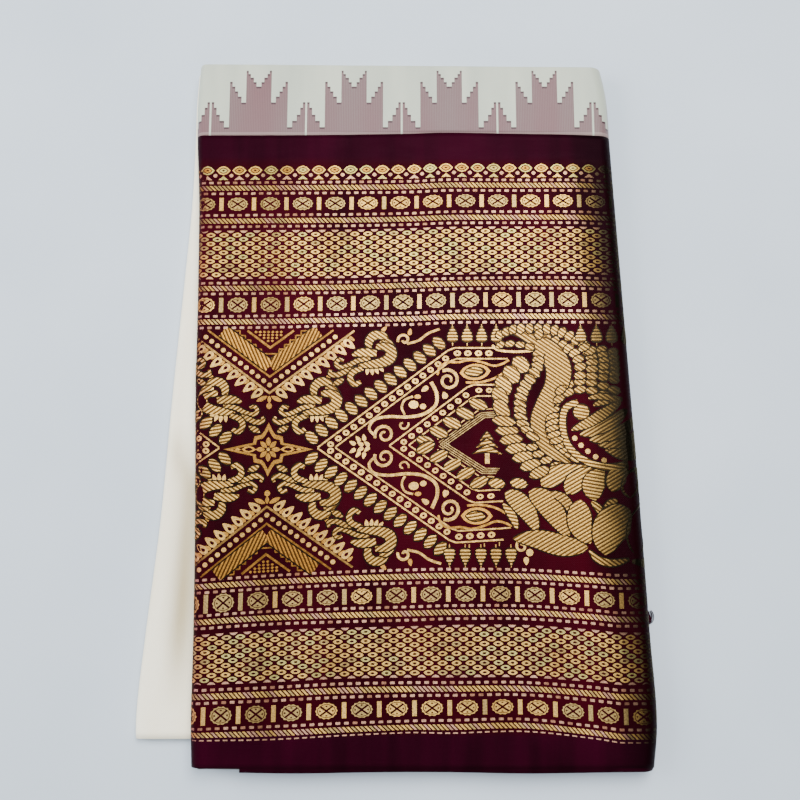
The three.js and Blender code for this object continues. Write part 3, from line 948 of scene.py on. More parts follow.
def addThreads(name, paths, material):
    # loose threads as fine closed tubes
    points, faces, uvs = [], [], []
    sides = tuftPlan["sides"]
    for path in paths:
        way = np.gradient(path, axis=0)
        way /= np.linalg.norm(way, axis=1)[:, None]
        side = np.cross(way, [0, 0, 1.0])
        side /= np.linalg.norm(side, axis=1)[:, None]
        up = np.cross(side, way)
        base = len(points)
        for k, centre in enumerate(path):
            for corner in range(sides):
                a = 2 * math.pi * corner / sides
                points.append(centre + tuftPlan["radius"] * (side[k] * math.cos(a) + up[k] * math.sin(a)))
                uvs.append((k, corner))
        for k in range(len(path) - 1):
            for corner in range(sides):
                a, b = base + sides * k + corner, base + sides * k + (corner + 1) % sides
                faces.append((a, b, b + sides, a + sides))
        faces.append(tuple(base + c for c in range(sides))[::-1])
        faces.append(tuple(base + sides * (len(path) - 1) + c for c in range(sides)))
    piece = addMesh(name, np.array(points), faces, np.array(uvs, float))
    piece.data.materials.append(material)
    return piece


def tuftPaths():
    draws = np.random.default_rng(5)
    paths = []
    a = np.linspace(0.15, 1, 14)[:, None] * math.pi
    for k in range(tuftPlan["threads"]):
        bend = draws.uniform(-1, 1, 3)
        wide = tuftPlan["wide"] + tuftPlan["wider"] * k + 0.3 * bend[0]
        long = tuftPlan["long"] + 0.5 * bend[1]
        middle = np.array(tuftPlan["middle"]) + (0, 0.3 * bend[2], tuftPlan["higher"] * k)
        paths.append(middle + np.concatenate([wide * np.sin(a), long * np.cos(a), 0.5 * np.sin(a)], 1))
    return paths


tuft = addThreads("endThreads", tuftPaths(), borderSilk)
print("the inner end is made")

# ---- the woven gold pattern ----
# Shapes are drawn flat in millimetres, with angles in degrees, and laid on the cloth. A patch fills
# the outline "a", a ring lies between the outlines "a" and "b", and a strip follows the path "a"
# with the widths "b". A hatch is the direction of the floats.
threadColours = {
    "pale": linear(216, 172, 94), "gold": linear(188, 136, 58), "bronze": linear(132, 80, 28),
    "green": linear(190, 174, 104), "silver": linear(196, 148, 122), "rose": linear(160, 110, 88),
    "dull": linear(176, 148, 92),
}
patternPlan = {
    "rise": 0.1, "sunk": -0.15, "bevel": 0.2, "outline": 1.15,
    "end": 0.02,                           # how high a strip's two ends lie
    "ledge": 0.01, "drop": 0.014,          # how far an outline lies below what it goes round
    "scale": 0.9972, "shift": (1.7, -1.03),
}
outlineColour = (0.003, 0.0002, 0.001, 1.0)
rng = np.random.default_rng(11)


def turned(points, degrees, cx, cy):
    c, s = math.cos(math.radians(degrees)), math.sin(math.radians(degrees))
    points = np.asarray(points, float)
    return np.stack([cx + points[:, 0] * c - points[:, 1] * s, cy + points[:, 0] * s + points[:, 1] * c], -1)


def placed(outline, x, y, wide=1.0, high=1.0):
    return np.array(outline, float) * (wide, high) + (x, y)


def circle(count):
    t = np.arange(count) * 2 * math.pi / count
    return np.cos(t), np.sin(t)


def ellipse(cx, cy, a, b, count=10):
    return placed(np.stack(circle(count), -1), cx, cy, a, b)


def lens(cx, cy, a, b):
    shape = [(1, 0), (0.55, 0.72), (0, 1), (-0.55, 0.72), (-1, 0), (-0.55, -0.72), (0, -1), (0.55, -0.72)]
    return placed(shape, cx, cy, a, b)


def cell(cx, cy, a, b):
    shape = [(1, 0.2), (0.64, 0.74), (0.22, 1), (-0.22, 1), (-0.64, 0.74), (-1, 0.2)]
    shape += [(x, -y) for x, y in shape[::-1]]
    return placed(shape, cx, cy, a, b)


def leafShape(cx, cy, length, width, angle, blunt=0.75, count=14):
    t = np.linspace(0, 1, count // 2 + 1)
    half = width / 2 * np.sin(math.pi * t) ** blunt
    x = (t - 0.5) * length
    upper, lower = np.stack([x, half], -1), np.stack([x, -half], -1)[1:-1][::-1]
    return turned(np.concatenate([upper[::-1], lower[::-1]]), angle, cx, cy)


def dropShape(cx, cy, length, width, angle, count=12):
    # round at its base and pointed at its tip, which points along angle
    cos, sin = circle(count)
    return turned(np.stack([length * (0.5 * cos), width / 2 * sin * (1 - 0.45 * cos)], -1), angle, cx, cy)


def patch(shape, colour="pale", hatch=None):
    return {"kind": "patch", "a": np.asarray(shape, float), "colour": colour, "hatch": hatch}


def ringOf(outer, inner, colour="pale", hatch=None):
    return dict(patch(outer, colour, hatch), kind="ring", b=np.asarray(inner, float))


def strip(path, width, colour="pale", hatch=None):
    widths = np.broadcast_to(np.asarray(width, float), (len(path),))[:, None]
    return dict(patch(path, colour, hatch), kind="strip", b=widths)


def bead(x, y, a, b):
    # a small ring with a dark eye
    return ringOf(ellipse(x, y, a, b), ellipse(x, y, 0.9, 0.7))


def turnedOver(shape, change):
    # a shape after a change that turns it over, so that it still runs the same way round
    made = dict(shape, a=change(shape["a"])[::-1])
    if "b" in shape:
        made["b"] = (shape["b"] if shape["kind"] == "strip" else change(shape["b"]))[::-1]
    if shape["hatch"] is not None:
        made["hatch"] = -shape["hatch"]
    return made


def mirrored(shapes, axis, at):
    signs, shift = np.ones(2), np.zeros(2)
    signs[axis], shift[axis] = -1, 2 * at
    return [turnedOver(shape, lambda points: points * signs + shift) for shape in shapes]


def thinned(path, reach):
    # more points, so that none are farther apart than reach
    path = np.asarray(path, float)
    run = np.concatenate([[0], np.cumsum(np.hypot(*np.diff(path, axis=0).T))])
    count = max(2, int(math.ceil(run[-1] / reach)) + 1)
    at = np.unique(np.concatenate([np.linspace(0, run[-1], count), run]))
    return np.stack([np.interp(at, run, path[:, 0]), np.interp(at, run, path[:, 1])], -1)


def smoothPath(points, count):
    points = np.asarray(points, float)
    at = np.linspace(0, len(points) - 1, count)
    return np.stack([smoothLine(np.arange(len(points)), points[:, k], at) for k in (0, 1)], -1)


def spiral(cx, cy, reach, turns, start, way=1, count=22):
    t = np.linspace(0, 1, count)
    radius = reach * (1 - 0.78 * t)
    angle = math.radians(start) + way * turns * 2 * math.pi * t
    return np.stack([cx + radius * np.cos(angle), cy + radius * np.sin(angle)], -1)


def clockwise(points):
    x, y = points[:, 0], points[:, 1]
    return np.sum(x * np.roll(y, -1) - np.roll(x, -1) * y) < 0


def sideways(ways):
    # square to each direction, at its left, and one long
    ways = ways / np.maximum(np.hypot(ways[:, 0], ways[:, 1]), 1e-6)[:, None]
    return np.stack([-ways[:, 1], ways[:, 0]], -1)


def grown(points, amount):
    # moved out, for a shape that runs anticlockwise
    return points - sideways(np.roll(points, -1, 0) - np.roll(points, 1, 0)) * amount


# Each kind of shape is laid as rows of points. A row is (flat points, height, whether it is outline).
def patchRows(shape, middle, rise):
    a, sunk = shape["a"], patternPlan["sunk"]
    if clockwise(a):
        a = a[::-1]
    size = np.sqrt(np.ptp(a[:, 0]) * np.ptp(a[:, 1]))
    top = middle + (a - middle) * max(0.4, 1 - 2 * patternPlan["bevel"] / max(size, 0.1))
    rows = [(a, sunk, False)]
    if shape["hatch"] is not None:
        edge = grown(a, patternPlan["outline"])
        ledge, drop = rise - patternPlan["ledge"], rise - patternPlan["drop"]
        rows = [(edge, sunk, True), (edge, drop, True), (a, ledge, True), (a, ledge, False)]
    return rows + [(top, rise, False), (middle[None], rise, False), (middle[None], sunk, False)]


def ringRows(shape, middle, rise):
    a, b = shape["a"], shape["b"]
    if clockwise(a):
        a, b = a[::-1], b[::-1]
    width = np.hypot(*(a - b).T)[:, None]
    share = np.minimum(0.3, patternPlan["bevel"] / np.maximum(width, 0.1))
    flats = [(a, patternPlan["sunk"]), (a + (b - a) * share, rise), (b + (a - b) * share, rise),
             (b, patternPlan["sunk"])]
    return [(flat, height, False) for flat, height in flats]


def stripRows(shape, middle, rise):
    a, width, sunk = shape["a"], shape["b"], patternPlan["sunk"]
    side = sideways(np.gradient(a, axis=0)) * width / 2
    share = np.maximum(0.2, 1 - 2 * patternPlan["bevel"] / np.maximum(width, 0.1))
    heights = np.full(len(a), rise)
    heights[[0, -1]] = patternPlan["end"]
    half = [(side, sunk, False)]
    if shape["hatch"] is not None:
        wide = side * (1 + 2 * patternPlan["outline"] / np.maximum(width, 0.1))
        ledge, drop = heights - patternPlan["ledge"], heights - patternPlan["drop"]
        half = [(wide, sunk, True), (wide, drop, True), (side, ledge, True), (side, ledge, False)]
    half.append((side * share, heights, False))
    right = [(a - reach, height, dark) for reach, height, dark in half]
    return right + [(a + reach, height, dark) for reach, height, dark in half[::-1]]


# Faces from the number of each row's first point, and how many points a row has.
def patchFaces(firsts, n):
    rings, (crown, foot) = firsts[:-2], firsts[-2:]
    faces = []
    for k in range(n):
        j = (k + 1) % n
        faces += [(near + k, near + j, far + j, far + k) for near, far in zip(rings, rings[1:])]
        faces += [(rings[-1] + k, rings[-1] + j, crown), (rings[0] + j, rings[0] + k, foot)]
    return faces


def wallFaces(firsts, pairs):
    # from each row to the next, and from the last to the first
    return [(near + k, near + j, far + j, far + k)
            for near, far in zip(firsts, firsts[1:] + firsts[:1]) for k, j in pairs]


def ringFaces(firsts, n):
    return wallFaces(firsts, [(k, (k + 1) % n) for k in range(n)])


def stripFaces(firsts, n):
    ends = [tuple(firsts), tuple(first + n - 1 for first in firsts)[::-1]]
    return wallFaces(firsts, [(k, k + 1) for k in range(n - 1)]) + ends


kinds = {"patch": (patchRows, patchFaces), "ring": (ringRows, ringFaces), "strip": (stripRows, stripFaces)}


def patternEnds(y):
    # how far the pattern runs at a level, from the return on the left to the end underneath
    left, right = foldLines(y)
    low = left - math.pi * packet["upperRadius"] - packet["upperReturn"]
    return low + 3, 2 * right + math.pi * packet["rightRadius"] - packet["underEndX"] - 5


def trimmed(shape, middle):
    # a strip is cut off where the pattern ends, and any other shape is left out beyond
    low, high = patternEnds(middle[1])
    if shape["kind"] != "strip":
        return shape if low < middle[0] < high else None
    shown = (shape["a"][:, 0] > low) & (shape["a"][:, 0] < high)
    return dict(shape, a=shape["a"][shown], b=shape["b"][shown]) if shown.sum() > 1 else None


# where the gold is duller in columns (x, reach, share) and browner in spots (x, y, reaches, share)
dullColumns = [(-112, 14, 0.3), (55, 9, 0.15)]
bronzedSpots = [(-100, -125, 48, 34, 1.0), (-108, 45, 22, 45, 0.7)]
# how much duller the rows nearer the body are, and how much painted shade darkens and reddens the gold at the
# left fold, where the cloth turns away from the light
nearBodyTone = {
    "zariRopes": (0.40, 0.42, 0.50), "zariDashes": (0.28, 0.30, 0.38), "zariFigures": (0.0, 0.0, 0.0),
    "others": (0.16, 0.19, 0.34),
}
leftFoldShadeTint = (0.42, 0.6, 0.45)


def goldAt(x, y, colour):
    # the thread's colour drifts over the cloth, and differs a little from shape to shape
    drift = math.sin(x / 21 + 0.9) * math.cos(y / 19 + x / 60) + 0.4 * math.sin(x / 7.3)
    columnTone = 1 - sum(share * math.exp(-((x - at) / reach) ** 2) for at, reach, share in dullColumns)
    tone = columnTone * (1 + 0.07 * drift) * rng.uniform(0.84, 1.06)
    spots = [share * math.exp(-((x - cx) / wide) ** 2 - ((y - cy) / long) ** 2)
             for cx, cy, wide, long, share in bronzedSpots]
    base, bronze = (np.array(threadColours[key][:3]) for key in (colour, "bronze"))
    return np.append((base + (bronze - base) * 0.55 * max(*spots, -0.4 * drift, 0)) * tone, 1.0)


def hatchLine(shape):
    # the direction of the floats; along a plain strip they show less
    a, n = shape["a"], len(shape["a"])
    if shape["hatch"] is not None:
        way = math.radians(shape["hatch"])
        return math.cos(way), math.sin(way), 0
    if shape["kind"] != "strip":
        return 0.0, 0.0, 0.0
    run = a[n // 2] - a[n // 2 - 1]
    return np.append(run / max(np.hypot(*run), 1e-6), 0) * 0.4


def layShapes(name, shapes, bowed):
    points, faces, colours, hatches = [], [], [], []
    count = 0
    for index, shape in enumerate(shapes):
        middle = shape["a"].mean(axis=0)
        shape = trimmed(shape, middle)
        if shape is None:
            continue
        # hatched shapes have a dark outline, and lie over one another like feathers
        over = 0 if shape["hatch"] is None else 0.024 * (index % 9) + 0.02 * (index * 0.618 % 1)
        rowsOf, facesOf = kinds[shape["kind"]]
        gold, line = goldAt(*middle, shape["colour"]), hatchLine(shape)
        firsts = []
        for flat, height, dark in rowsOf(shape, middle, patternPlan["rise"] + over):
            size = len(flat)
            points.append(np.column_stack([flat, np.broadcast_to(height, (size,))]))
            colours.append(np.tile(outlineColour if dark else gold, (size, 1)))
            hatches.append(np.tile((0.0, 0.0, 0.0) if dark else line, (size, 1)))
            firsts.append(count)
            count += size
        faces += facesOf(firsts, len(shape["a"]))
    flat, colours = np.concatenate(points), np.concatenate(colours)
    # painted shade: the gold is painted darker and redder at the left fold, and darker at the right fold,
    # where the cloth turns away from the light
    paintedLeftShade = smoothStep(13, 1, flat[:, 0] - edgeAt("upperLeft", flat[:, 1]))[:, None]
    colours[:, :3] *= (1 - paintedLeftShade * leftFoldShadeTint) * (1 - foldShade(flat[:, 0], flat[:, 1]))[:, None]
    duller = smoothStep(60, 100, flat[:, 1])[:, None]
    colours[:, :3] *= 1 - duller * nearBodyTone.get(name, nearBodyTone["others"])
    p, y = (patternPlan["shift"][k] + flat[:, k] * patternPlan["scale"] for k in (0, 1))
    if bowed:
        y = y + bowAt(flat[:, 0], flat[:, 1])
    attributes = {"thread": ("FLOAT_COLOR", colours), "hatch": ("FLOAT_VECTOR", np.concatenate(hatches))}
    uv = np.stack([p, y], -1)
    piece = addMesh(name, outerPlace(p, y, flat[:, 2]), faces, uv, attributes, smooth=False)
    piece.data.materials.append(zari)
    return piece


def alongRow(start, pitch, low=-205.0, high=560.0):
    first, last = math.ceil((low - start) / pitch), math.floor((high - start) / pitch)
    return [start + pitch * k for k in range(first, last + 1)]


def someColour(choices):
    return str(rng.choice(choices.split()))


ovalRow = {"y": 205.4, "pitch": 14.0, "start": 40.5}
roof = [(-4.6, -8.6), (-1.2, -8.6), (0, -7.8), (1.2, -8.6), (4.6, -8.6), (0, -4.8)]


def ovalShapes():
    shapes = []
    y = ovalRow["y"]
    for x in alongRow(ovalRow["start"], ovalRow["pitch"]):
        shapes.append(ringOf(lens(x, y, 6.4, 4.3), lens(x, y, 4.4, 2.7), someColour("pale pale green")))
        shapes.append(ringOf(lens(x, y, 3.8, 2.2), lens(x, y, 1.3, 0.6), someColour("gold green gold")))
        shapes.append(patch(lens(x + 7, y - 4.6, 2.1, 1.9), "silver"))
        shapes.append(patch(placed(roof, x, y), someColour("pale silver green")))
    return shapes


dashRows = [194.2, 184.3, 164.8, 154.5, 104.5, 95, 75.5, 65.5, -142.5, -153, -172, -182.5, -233, -243, -262.5]
ropeRows = [189.3, 159.6, 99.8, 70.6, -147.8, -177.3, -238, -267.8]
dash = [(-2.1, -0.8), (-1.7, -1.15), (1.7, -1.15), (2.1, -0.8), (2.1, 0.8), (1.7, 1.15), (-1.7, 1.15),
        (-2.1, 0.8)]
thinDash = [(-2.2, -0.6), (2.2, -0.6), (2.2, 0.6), (-2.2, 0.6)]
strand = [(1.2, -2.3), (3.4, -2.3), (1.3, -0.2), (-1.0, 2.3), (-3.4, 2.3), (-1.3, 0.2)]


def dashShapes():
    shapes = []
    for row, y in enumerate(dashRows):
        for x in alongRow(1.0 + 2.3 * row, 6.95):
            shapes.append(patch(placed(dash, x, y), someColour("silver silver silver rose")))
    return shapes + [patch(placed(thinDash, x, -272.4), "silver") for x in alongRow(0.0, 6.4)]


def ropeShapes():
    return [patch(placed(strand, x, y), someColour("pale pale silver dull"))
            for row, y in enumerate(ropeRows) for x in alongRow(0.5 * row, 3.65)]


# level, where the first stands, and the height at the left and right ends
medallionRows = [(174.8, 0.3, 0.92, 0.9), (85.3, 2.5, 1.0, 1.0), (-162.6, -3.0, 1.22, 0.97),
                 (-252.8, -2.5, 1.08, 0.94)]


def wedge(x, y, middle, tint, tall):
    # one quarter of a medallion, between the arms of its dark cross, with a dark seed
    t = middle + np.linspace(-0.67, 0.67, 5)
    rim = np.stack([x + 6.95 * np.cos(t), y + 5.05 * tall * np.sin(t)], -1)
    shape = np.concatenate([rim, [(x + 1.1 * math.cos(middle), y + 0.8 * math.sin(middle))]])
    heart = shape.mean(axis=0)
    return ringOf(shape, heart + (shape - heart) * 0.24, tint)


def medallionShapes():
    shapes = []
    cos, sin = circle(28)
    lobes = 1 + 0.05 * np.cos(14 * (np.arange(28) * 2 * math.pi / 28))
    for y, start, tallLeft, tallRight in medallionRows:
        def tallAt(x):
            return tallLeft + (tallRight - tallLeft) * smoothStep(-170, -60, x)

        for x in alongRow(start, 28.5):
            tint, tall = someColour("pale dull dull"), tallAt(x)
            outer = np.stack([x + 8.8 * cos * lobes, y + 6.5 * tall * sin * lobes], -1)
            inner = np.stack([x + 7.3 * cos, y + 5.3 * tall * sin], -1)
            shapes.append(ringOf(outer, inner, tint))
            shapes += [wedge(x, y, k * math.pi / 2, tint, tall) for k in range(4)]
        for x in alongRow(start + 14.25, 28.5):
            bar = placed([(-1.9, -1), (1.9, -1), (1.9, 1), (-1.9, 1), (-1.9, -1)], x, y, 1, 6.6 * tallAt(x))
            shapes.append(patch(thinned(bar, 4.6)[:-1], someColour("pale pale dull")))
    return shapes


latticeBands = [(151.0, 108.0, 11), (-187.5, -229.0, 11)]
halfCell = [(-3.6, 0), (3.6, 0), (2.0, 1.7), (0, 2.3), (-2.0, 1.7)]


def latticeShapes():
    shapes = []
    for top, bottom, rows in latticeBands:
        pitch = (top - bottom) / rows
        for row in range(rows + 1):
            y = top - pitch * row
            for x in alongRow(5.7 * (row % 2) + 0.5, 11.4):
                tint = someColour("pale pale pale pale dull green")
                if 0 < row < rows:
                    shapes.append(ringOf(cell(x, y, 4.05, 2.08), cell(x, y, 1.5, 0.7), tint))
                else:
                    shapes.append(patch(placed(halfCell, x, y, 1, -1 if row == 0 else 1), "silver"))
    return shapes


# the figured band: chevrons, a star, birds, diamonds with vines, and a feathered paisley over a lotus
figurePlan = {"middleX": -111.0, "underAxis": 232.0, "slope": 0.752, "lean": 0.03, "axisAtZero": -40.1}
upperHatch, lowerHatch, steepHatch = 80, 120, 55


def belowAxis(shapes):
    # the same again, turned over below the band's own middle line
    def over(points):
        axis = figurePlan["axisAtZero"] + figurePlan["lean"] * points[:, 0]
        return np.stack([points[:, 0], 2 * axis - points[:, 1]], -1)

    return [turnedOver(shape, over) for shape in shapes]


def bothArms(make, apexX, apexY, distances):
    # a shape on each arm of a V, at distances along it
    shapes = []
    size = math.hypot(1, figurePlan["slope"])
    for distance in distances:
        dx, dy = distance / size, distance / size * figurePlan["slope"]
        shapes += make(apexX + dx, apexY + dy, 1)
        if distance > 0:
            shapes += make(apexX - dx, apexY + dy, -1)
    return shapes


def chevronShapes():
    x0, slope = figurePlan["middleX"], figurePlan["slope"]

    def arms(apexY, top, width, colour="gold"):
        reach = (top - apexY) / slope
        path = thinned([(x0 - reach, top), (x0, apexY), (x0 + reach, top)], 4.0)
        widths = np.full(len(path), width)
        widths[np.argmin(np.abs(path[:, 0] - x0))] = width / math.cos(math.atan(slope))
        return strip(path, widths, colour)

    def dots(x, y, side):
        return [patch(ellipse(x, y, 2.3, 2.2, 9))] if y < 58 else []

    def tooth(x, y, side):
        if y > 57 or x < x0 - 62:
            return []
        way = -38 if side > 0 else 218
        c, s = math.cos(math.radians(way)), math.sin(math.radians(way))
        cx, cy = x + 4.9 * c, y - 1.2 + 4.9 * s
        hole = dropShape(cx - 1.2 * c, cy - 1.2 * s, 4.0, 2.2, way)
        dart = dropShape(x + 3.4 * side + 3.2 * c, y + 3.4 * slope + 3.2 * s, 6.4, 3.0, way, 8)
        return [ringOf(dropShape(cx, cy, 12.4, 6.4, way), hole), patch(dart, "gold")]

    shapes = [arms(4.5, 58.5, 2.1, "pale"), arms(18.5, 59.0, 1.9)]
    for side in (-1, 1):
        comb = thinned([(x0 + side * 0.4, 27.6), (x0 + side * 41, 58.4)], 4.0)
        shapes.append(strip(comb, 10.6, "gold", -24 * side))
    shapes += bothArms(dots, x0, 11.4, [6.3 * k for k in range(12)])
    shapes += bothArms(tooth, x0, 3.0, [8.6 + 8.9 * k for k in range(9)])
    # the stepped key line and the small chevron inside it
    key = [(x0, 38.4), (x0 + 7.5, 38.4)]
    for k in range(5):
        key += [(x0 + 7.5 + 4.7 * k, 42.4 + 4 * k), (x0 + 12.2 + 4.7 * k, 42.4 + 4 * k)]
    key = np.array([p for p in key if p[1] < 59])
    both = np.concatenate([(key * (-1, 1) + (2 * x0, 0))[::-1], key[1:]])
    shapes += [strip(thinned(both, 4.5), 1.5, "gold"), arms(43.6, 58.6, 2.2)]
    for k, width in enumerate((2, 5.5, 9, 12.5)):
        y = 49.6 + 2.6 * k
        shapes += [patch(lens(x0 + dx, y, 1.5, 1.2), "gold") for dx in np.arange(-width, width + 0.1, 3.6)]
    # a pair of leaves and a drop under the point
    shapes += [patch(leafShape(x0 + side * 6.2, -0.4, 11, 4.0, side * -25), "gold") for side in (1, -1)]
    shapes.append(patch(ellipse(x0, -6.6, 2.6, 2.8, 9), "gold"))
    return shapes + [patch(leafShape(x0, -1.0, 7, 3.4, 90), "gold")]


def starShapes():
    x0 = figurePlan["middleX"]
    y0 = figurePlan["axisAtZero"] + figurePlan["lean"] * x0
    quarter = [(38, 0), (20, 4.2), (13, 5.5), (12, 11), (6, 12.5), (3.4, 16), (0, 23)]
    outer = np.array(quarter + [(-x, y) for x, y in quarter[-2::-1]])
    outer = np.concatenate([outer, (outer * (1, -1))[::-1][1:-1]])
    shapes = [ringOf(outer + (x0, y0), placed(outer, x0, y0, 0.79, 0.72), "gold")]
    for k in range(8):
        c, s = math.cos(math.radians(45 * k)), math.sin(math.radians(45 * k))
        reach = 5.6 if k % 2 else 6.6
        shapes.append(patch(leafShape(x0 + reach * c, y0 + reach * s, 8.2, 4.2, 45 * k), "gold"))
    shapes.append(patch(ellipse(x0, y0, 1.7, 1.7, 8)))
    for side in (1, -1):
        x = x0 + side * 16.4
        shapes.append(ringOf(lens(x, y0, 6.4, 2.9), lens(x, y0, 3.4, 1.3), "gold"))
        shapes.append(patch(lens(x + side * 9.2, y0, 2.6, 1.1), "gold"))
    return shapes


def birdShapes(cx, cy):
    # its head turned back over its wing, with curling tail plumes
    def at(points):
        return np.asarray(points, float) + (cx, cy)

    def curve(points, widths, count=14):
        steps = np.linspace(0, len(widths) - 1, count)
        widths = smoothLine(np.arange(len(widths)), widths, steps)
        return strip(at(smoothPath(points, count)), widths, hatch=steepHatch)

    shapes = [
        curve([(-11, 0.5), (-11, 6.5), (-6.4, 11.4), (0.4, 11.2), (4.6, 8.2)], [4.6, 6.6, 7.2, 6.0, 3.0]),
        curve([(-1.4, 6.8), (5.0, 5.4), (10.6, 1.2)], [3.6, 5.0, 1.8], 8),
        curve([(-5, 1.6), (3.0, 1.4), (8.0, -2.6), (6.4, -9.0), (-1, -12.4), (-10, -13.8), (-20, -15.6)],
              [4.0, 6.4, 8.8, 8.8, 7.6, 5.6, 3.0], 26),
        curve([(-4.6, -4.4), (-12, -3.6), (-19, -3.8), (-25.4, -5.8)], [5.0, 6.6, 6.0, 1.8], 12),
        curve([(-10, -9.0), (-20, -10.4), (-28, -14.4), (-35, -16.4), (-39, -13.5), (-36.6, -9.6),
               (-32.6, -10.8)], [2.6, 3.6, 3.4, 3.2, 3.2, 2.8, 2.2], 28),
        curve([(-20, -17.6), (-30, -19.4), (-38, -23.0), (-44, -21.9), (-43.4, -18.2)],
              [3.4, 4.0, 4.0, 3.2, 2.2], 18),
        curve([(-16, -17.0), (-24.4, -20.4), (-27, -26), (-23, -31), (-18, -28.8)],
              [3.4, 4.6, 4.6, 4.2, 3.0], 18),
        patch(leafShape(cx - 37, cy - 29, 11, 4.6, 28), hatch=steepHatch),
        patch(leafShape(cx + 1.4, cy + 16.4, 8.4, 3.6, 46), "gold"),
    ]
    for dx, dy, way in ((-12.4, -20.0, 262), (-8.2, -20.2, 276), (-4.2, -19.4, 292), (-0.4, -17.8, 308)):
        shapes.append(patch(dropShape(cx + dx, cy + dy, 6.4, 3.4, way)))
    return shapes


def coneShapes(cx, cy):
    # a small tiered cone on a stem, pointing up
    half = [(0.7, 7.4), (1.2, 5.2), (2.5, 4.4), (2.1, 3.0), (3.7, 1.8), (3.2, 0.4), (4.6, -1.2), (3.8, -2.6),
            (4.3, -4.0), (2.2, -5.6)]
    edge = np.array(half + [(-x, y) for x, y in half[::-1]]) + (cx, cy)
    stem, tip = [(cx, cy - 9.2), (cx, cy - 6.2)], [(cx, cy + 5.6), (cx, cy + 9.6)]
    return [patch(edge[::-1], hatch=90), strip(stem, 1.2), strip(tip, 0.9)]


def diamondShapes():
    # the upper half of both diamonds, with leaves outside and vines between
    slope = figurePlan["slope"]

    def line(x, y, turnX, endX, width):
        bend = y + (turnX - x) * slope
        path = [(x, y), (turnX - 3, bend - 3 * slope), (turnX + 2.5, bend), (endX, bend)]
        return strip(thinned(path, 4.0), width)

    def upSlope(x0, y0, pitch, top, make):
        # one beside another up a diamond's side, below a level
        places = [x0 + pitch * k for k in range(18)]
        return [make(x, y0 + (x - x0) * slope) for x in places if y0 + (x - x0) * slope < top]

    shapes = [line(-69.5, -41.9, 44, 86, 1.7), line(-54.5, -41.5, 46, 92, 1.6)]
    shapes += [line(-9, -40.3, 60, 86, 1.7), line(7.5, -39.8, 63, 84, 1.5)]
    shapes += upSlope(-58.5, -39.1, 6.5, 38, lambda x, y: bead(x, y, 3.1, 2.7))
    shapes += [bead(x, 38.8, 3.4, 2.7) for x in (49, 58, 67, 76)]
    shapes += upSlope(3.2, -37.1, 6.6, 7, lambda x, y: bead(x, y, 3.0, 2.6))
    shapes += [bead(x, 6.8, 3.2, 2.4) for x in (67, 76)]
    shapes += upSlope(-74.5, -33.6, 8.3, 53,
                      lambda x, y: patch(leafShape(x, y, 13.4, 7.8, -44, 0.55), hatch=upperHatch))
    for k in range(5):
        x, y = 21.5 + 11.2 * k, -36.8 + 7.9 * k
        shapes.append(patch(leafShape(x, y, 16.5, 8.4, -22, 0.5), hatch=60))
    inner = thinned([(34.5, -39.5), (70, -14.5), (82, -13.6)], 4.0)
    shapes += [strip(inner + (-0.6 * k, 0.8 * k), 1.05, "dull") for k in (-2.6, -0.9, 0.8, 2.5)]
    shapes.append(strip(inner + (-3.0, 4.6), 1.3))
    for x in (45, 57.5, 70, 82.5):
        shapes += coneShapes(x, 54.6)
    # vines
    longVine = [(-21, -32), (-26, -26), (-22, -18.5), (-10, -15.6), (6, -16), (20, -13.5), (30, -6), (31, 4),
                (26.5, 14)]
    highVine = [(32, 20), (34, 27), (41, 31), (50, 31), (60, 33), (70, 31), (80, 28), (88, 30), (93, 33)]
    bigLeaf, leafHole = (leafShape(64, 22.6, *size, 4, 0.6, 18) for size in ((27, 14.5), (19.5, 9.6)))
    shapes += [
        strip(spiral(-13, -31, 8.6, 1.35, 200, -1), np.linspace(3.0, 2.2, 22)),
        strip(smoothPath(longVine, 34), np.linspace(2.4, 3.4, 34)),
        strip(smoothPath([(4, -14), (1.5, -8), (4, -1.5), (11, 1.5)], 14), 2.2),
        patch(ellipse(11.5, -5.4, 4.4, 3.6, 12)), patch(ellipse(19.5, -7, 2.9, 2.6)),
        patch(ellipse(15, 1.4, 3.0, 2.0), "gold"), patch(dropShape(21, 8, 7.5, 4.4, 215)),
        patch(dropShape(38, 2.6, 6.5, 5.2, 110)), strip(spiral(2.5, -22.4, 5.0, 0.8, 20, -1, 14), 2.0),
        strip(spiral(41, 15.5, 9.4, 1.45, 120, -1), np.linspace(3.2, 2.4, 22)),
        strip(smoothPath(highVine, 30), 2.2, "gold"), ringOf(bigLeaf, leafHole, "gold"),
        patch(leafShape(63, 22.8, 16, 7.4, 4, 0.6), hatch=upperHatch),
        strip(smoothPath([(56, 13.6), (68, 13.8), (80, 17), (90, 23)], 14), 2.2, "gold"),
    ]
    drops = [(-40, -38, 150), (-35.4, -34.6, 128), (-30.4, -33.4, 100), (-33.5, -38.8, 150),
             (-28, -38.6, 140)]
    return shapes + [patch(dropShape(x, y, 6.4, 3.6, way)) for x, y, way in drops]


tierShape = [(-1, -2.4), (-0.35, -0.6), (0.35, -0.6), (1, -2.4), (0.3, 3.2), (0, 5.0), (-0.3, 3.2)]


def treeShapes():
    x, tiers = 73.4, ((-33.5, 5.6), (-39.5, 9.2), (-45.0, 12.4))
    shapes = [strip([(x, -46), (x, -55.5)], 4.2)]
    return shapes + [patch(placed(tierShape, x, y, half, 1), hatch=100) for y, half in tiers]


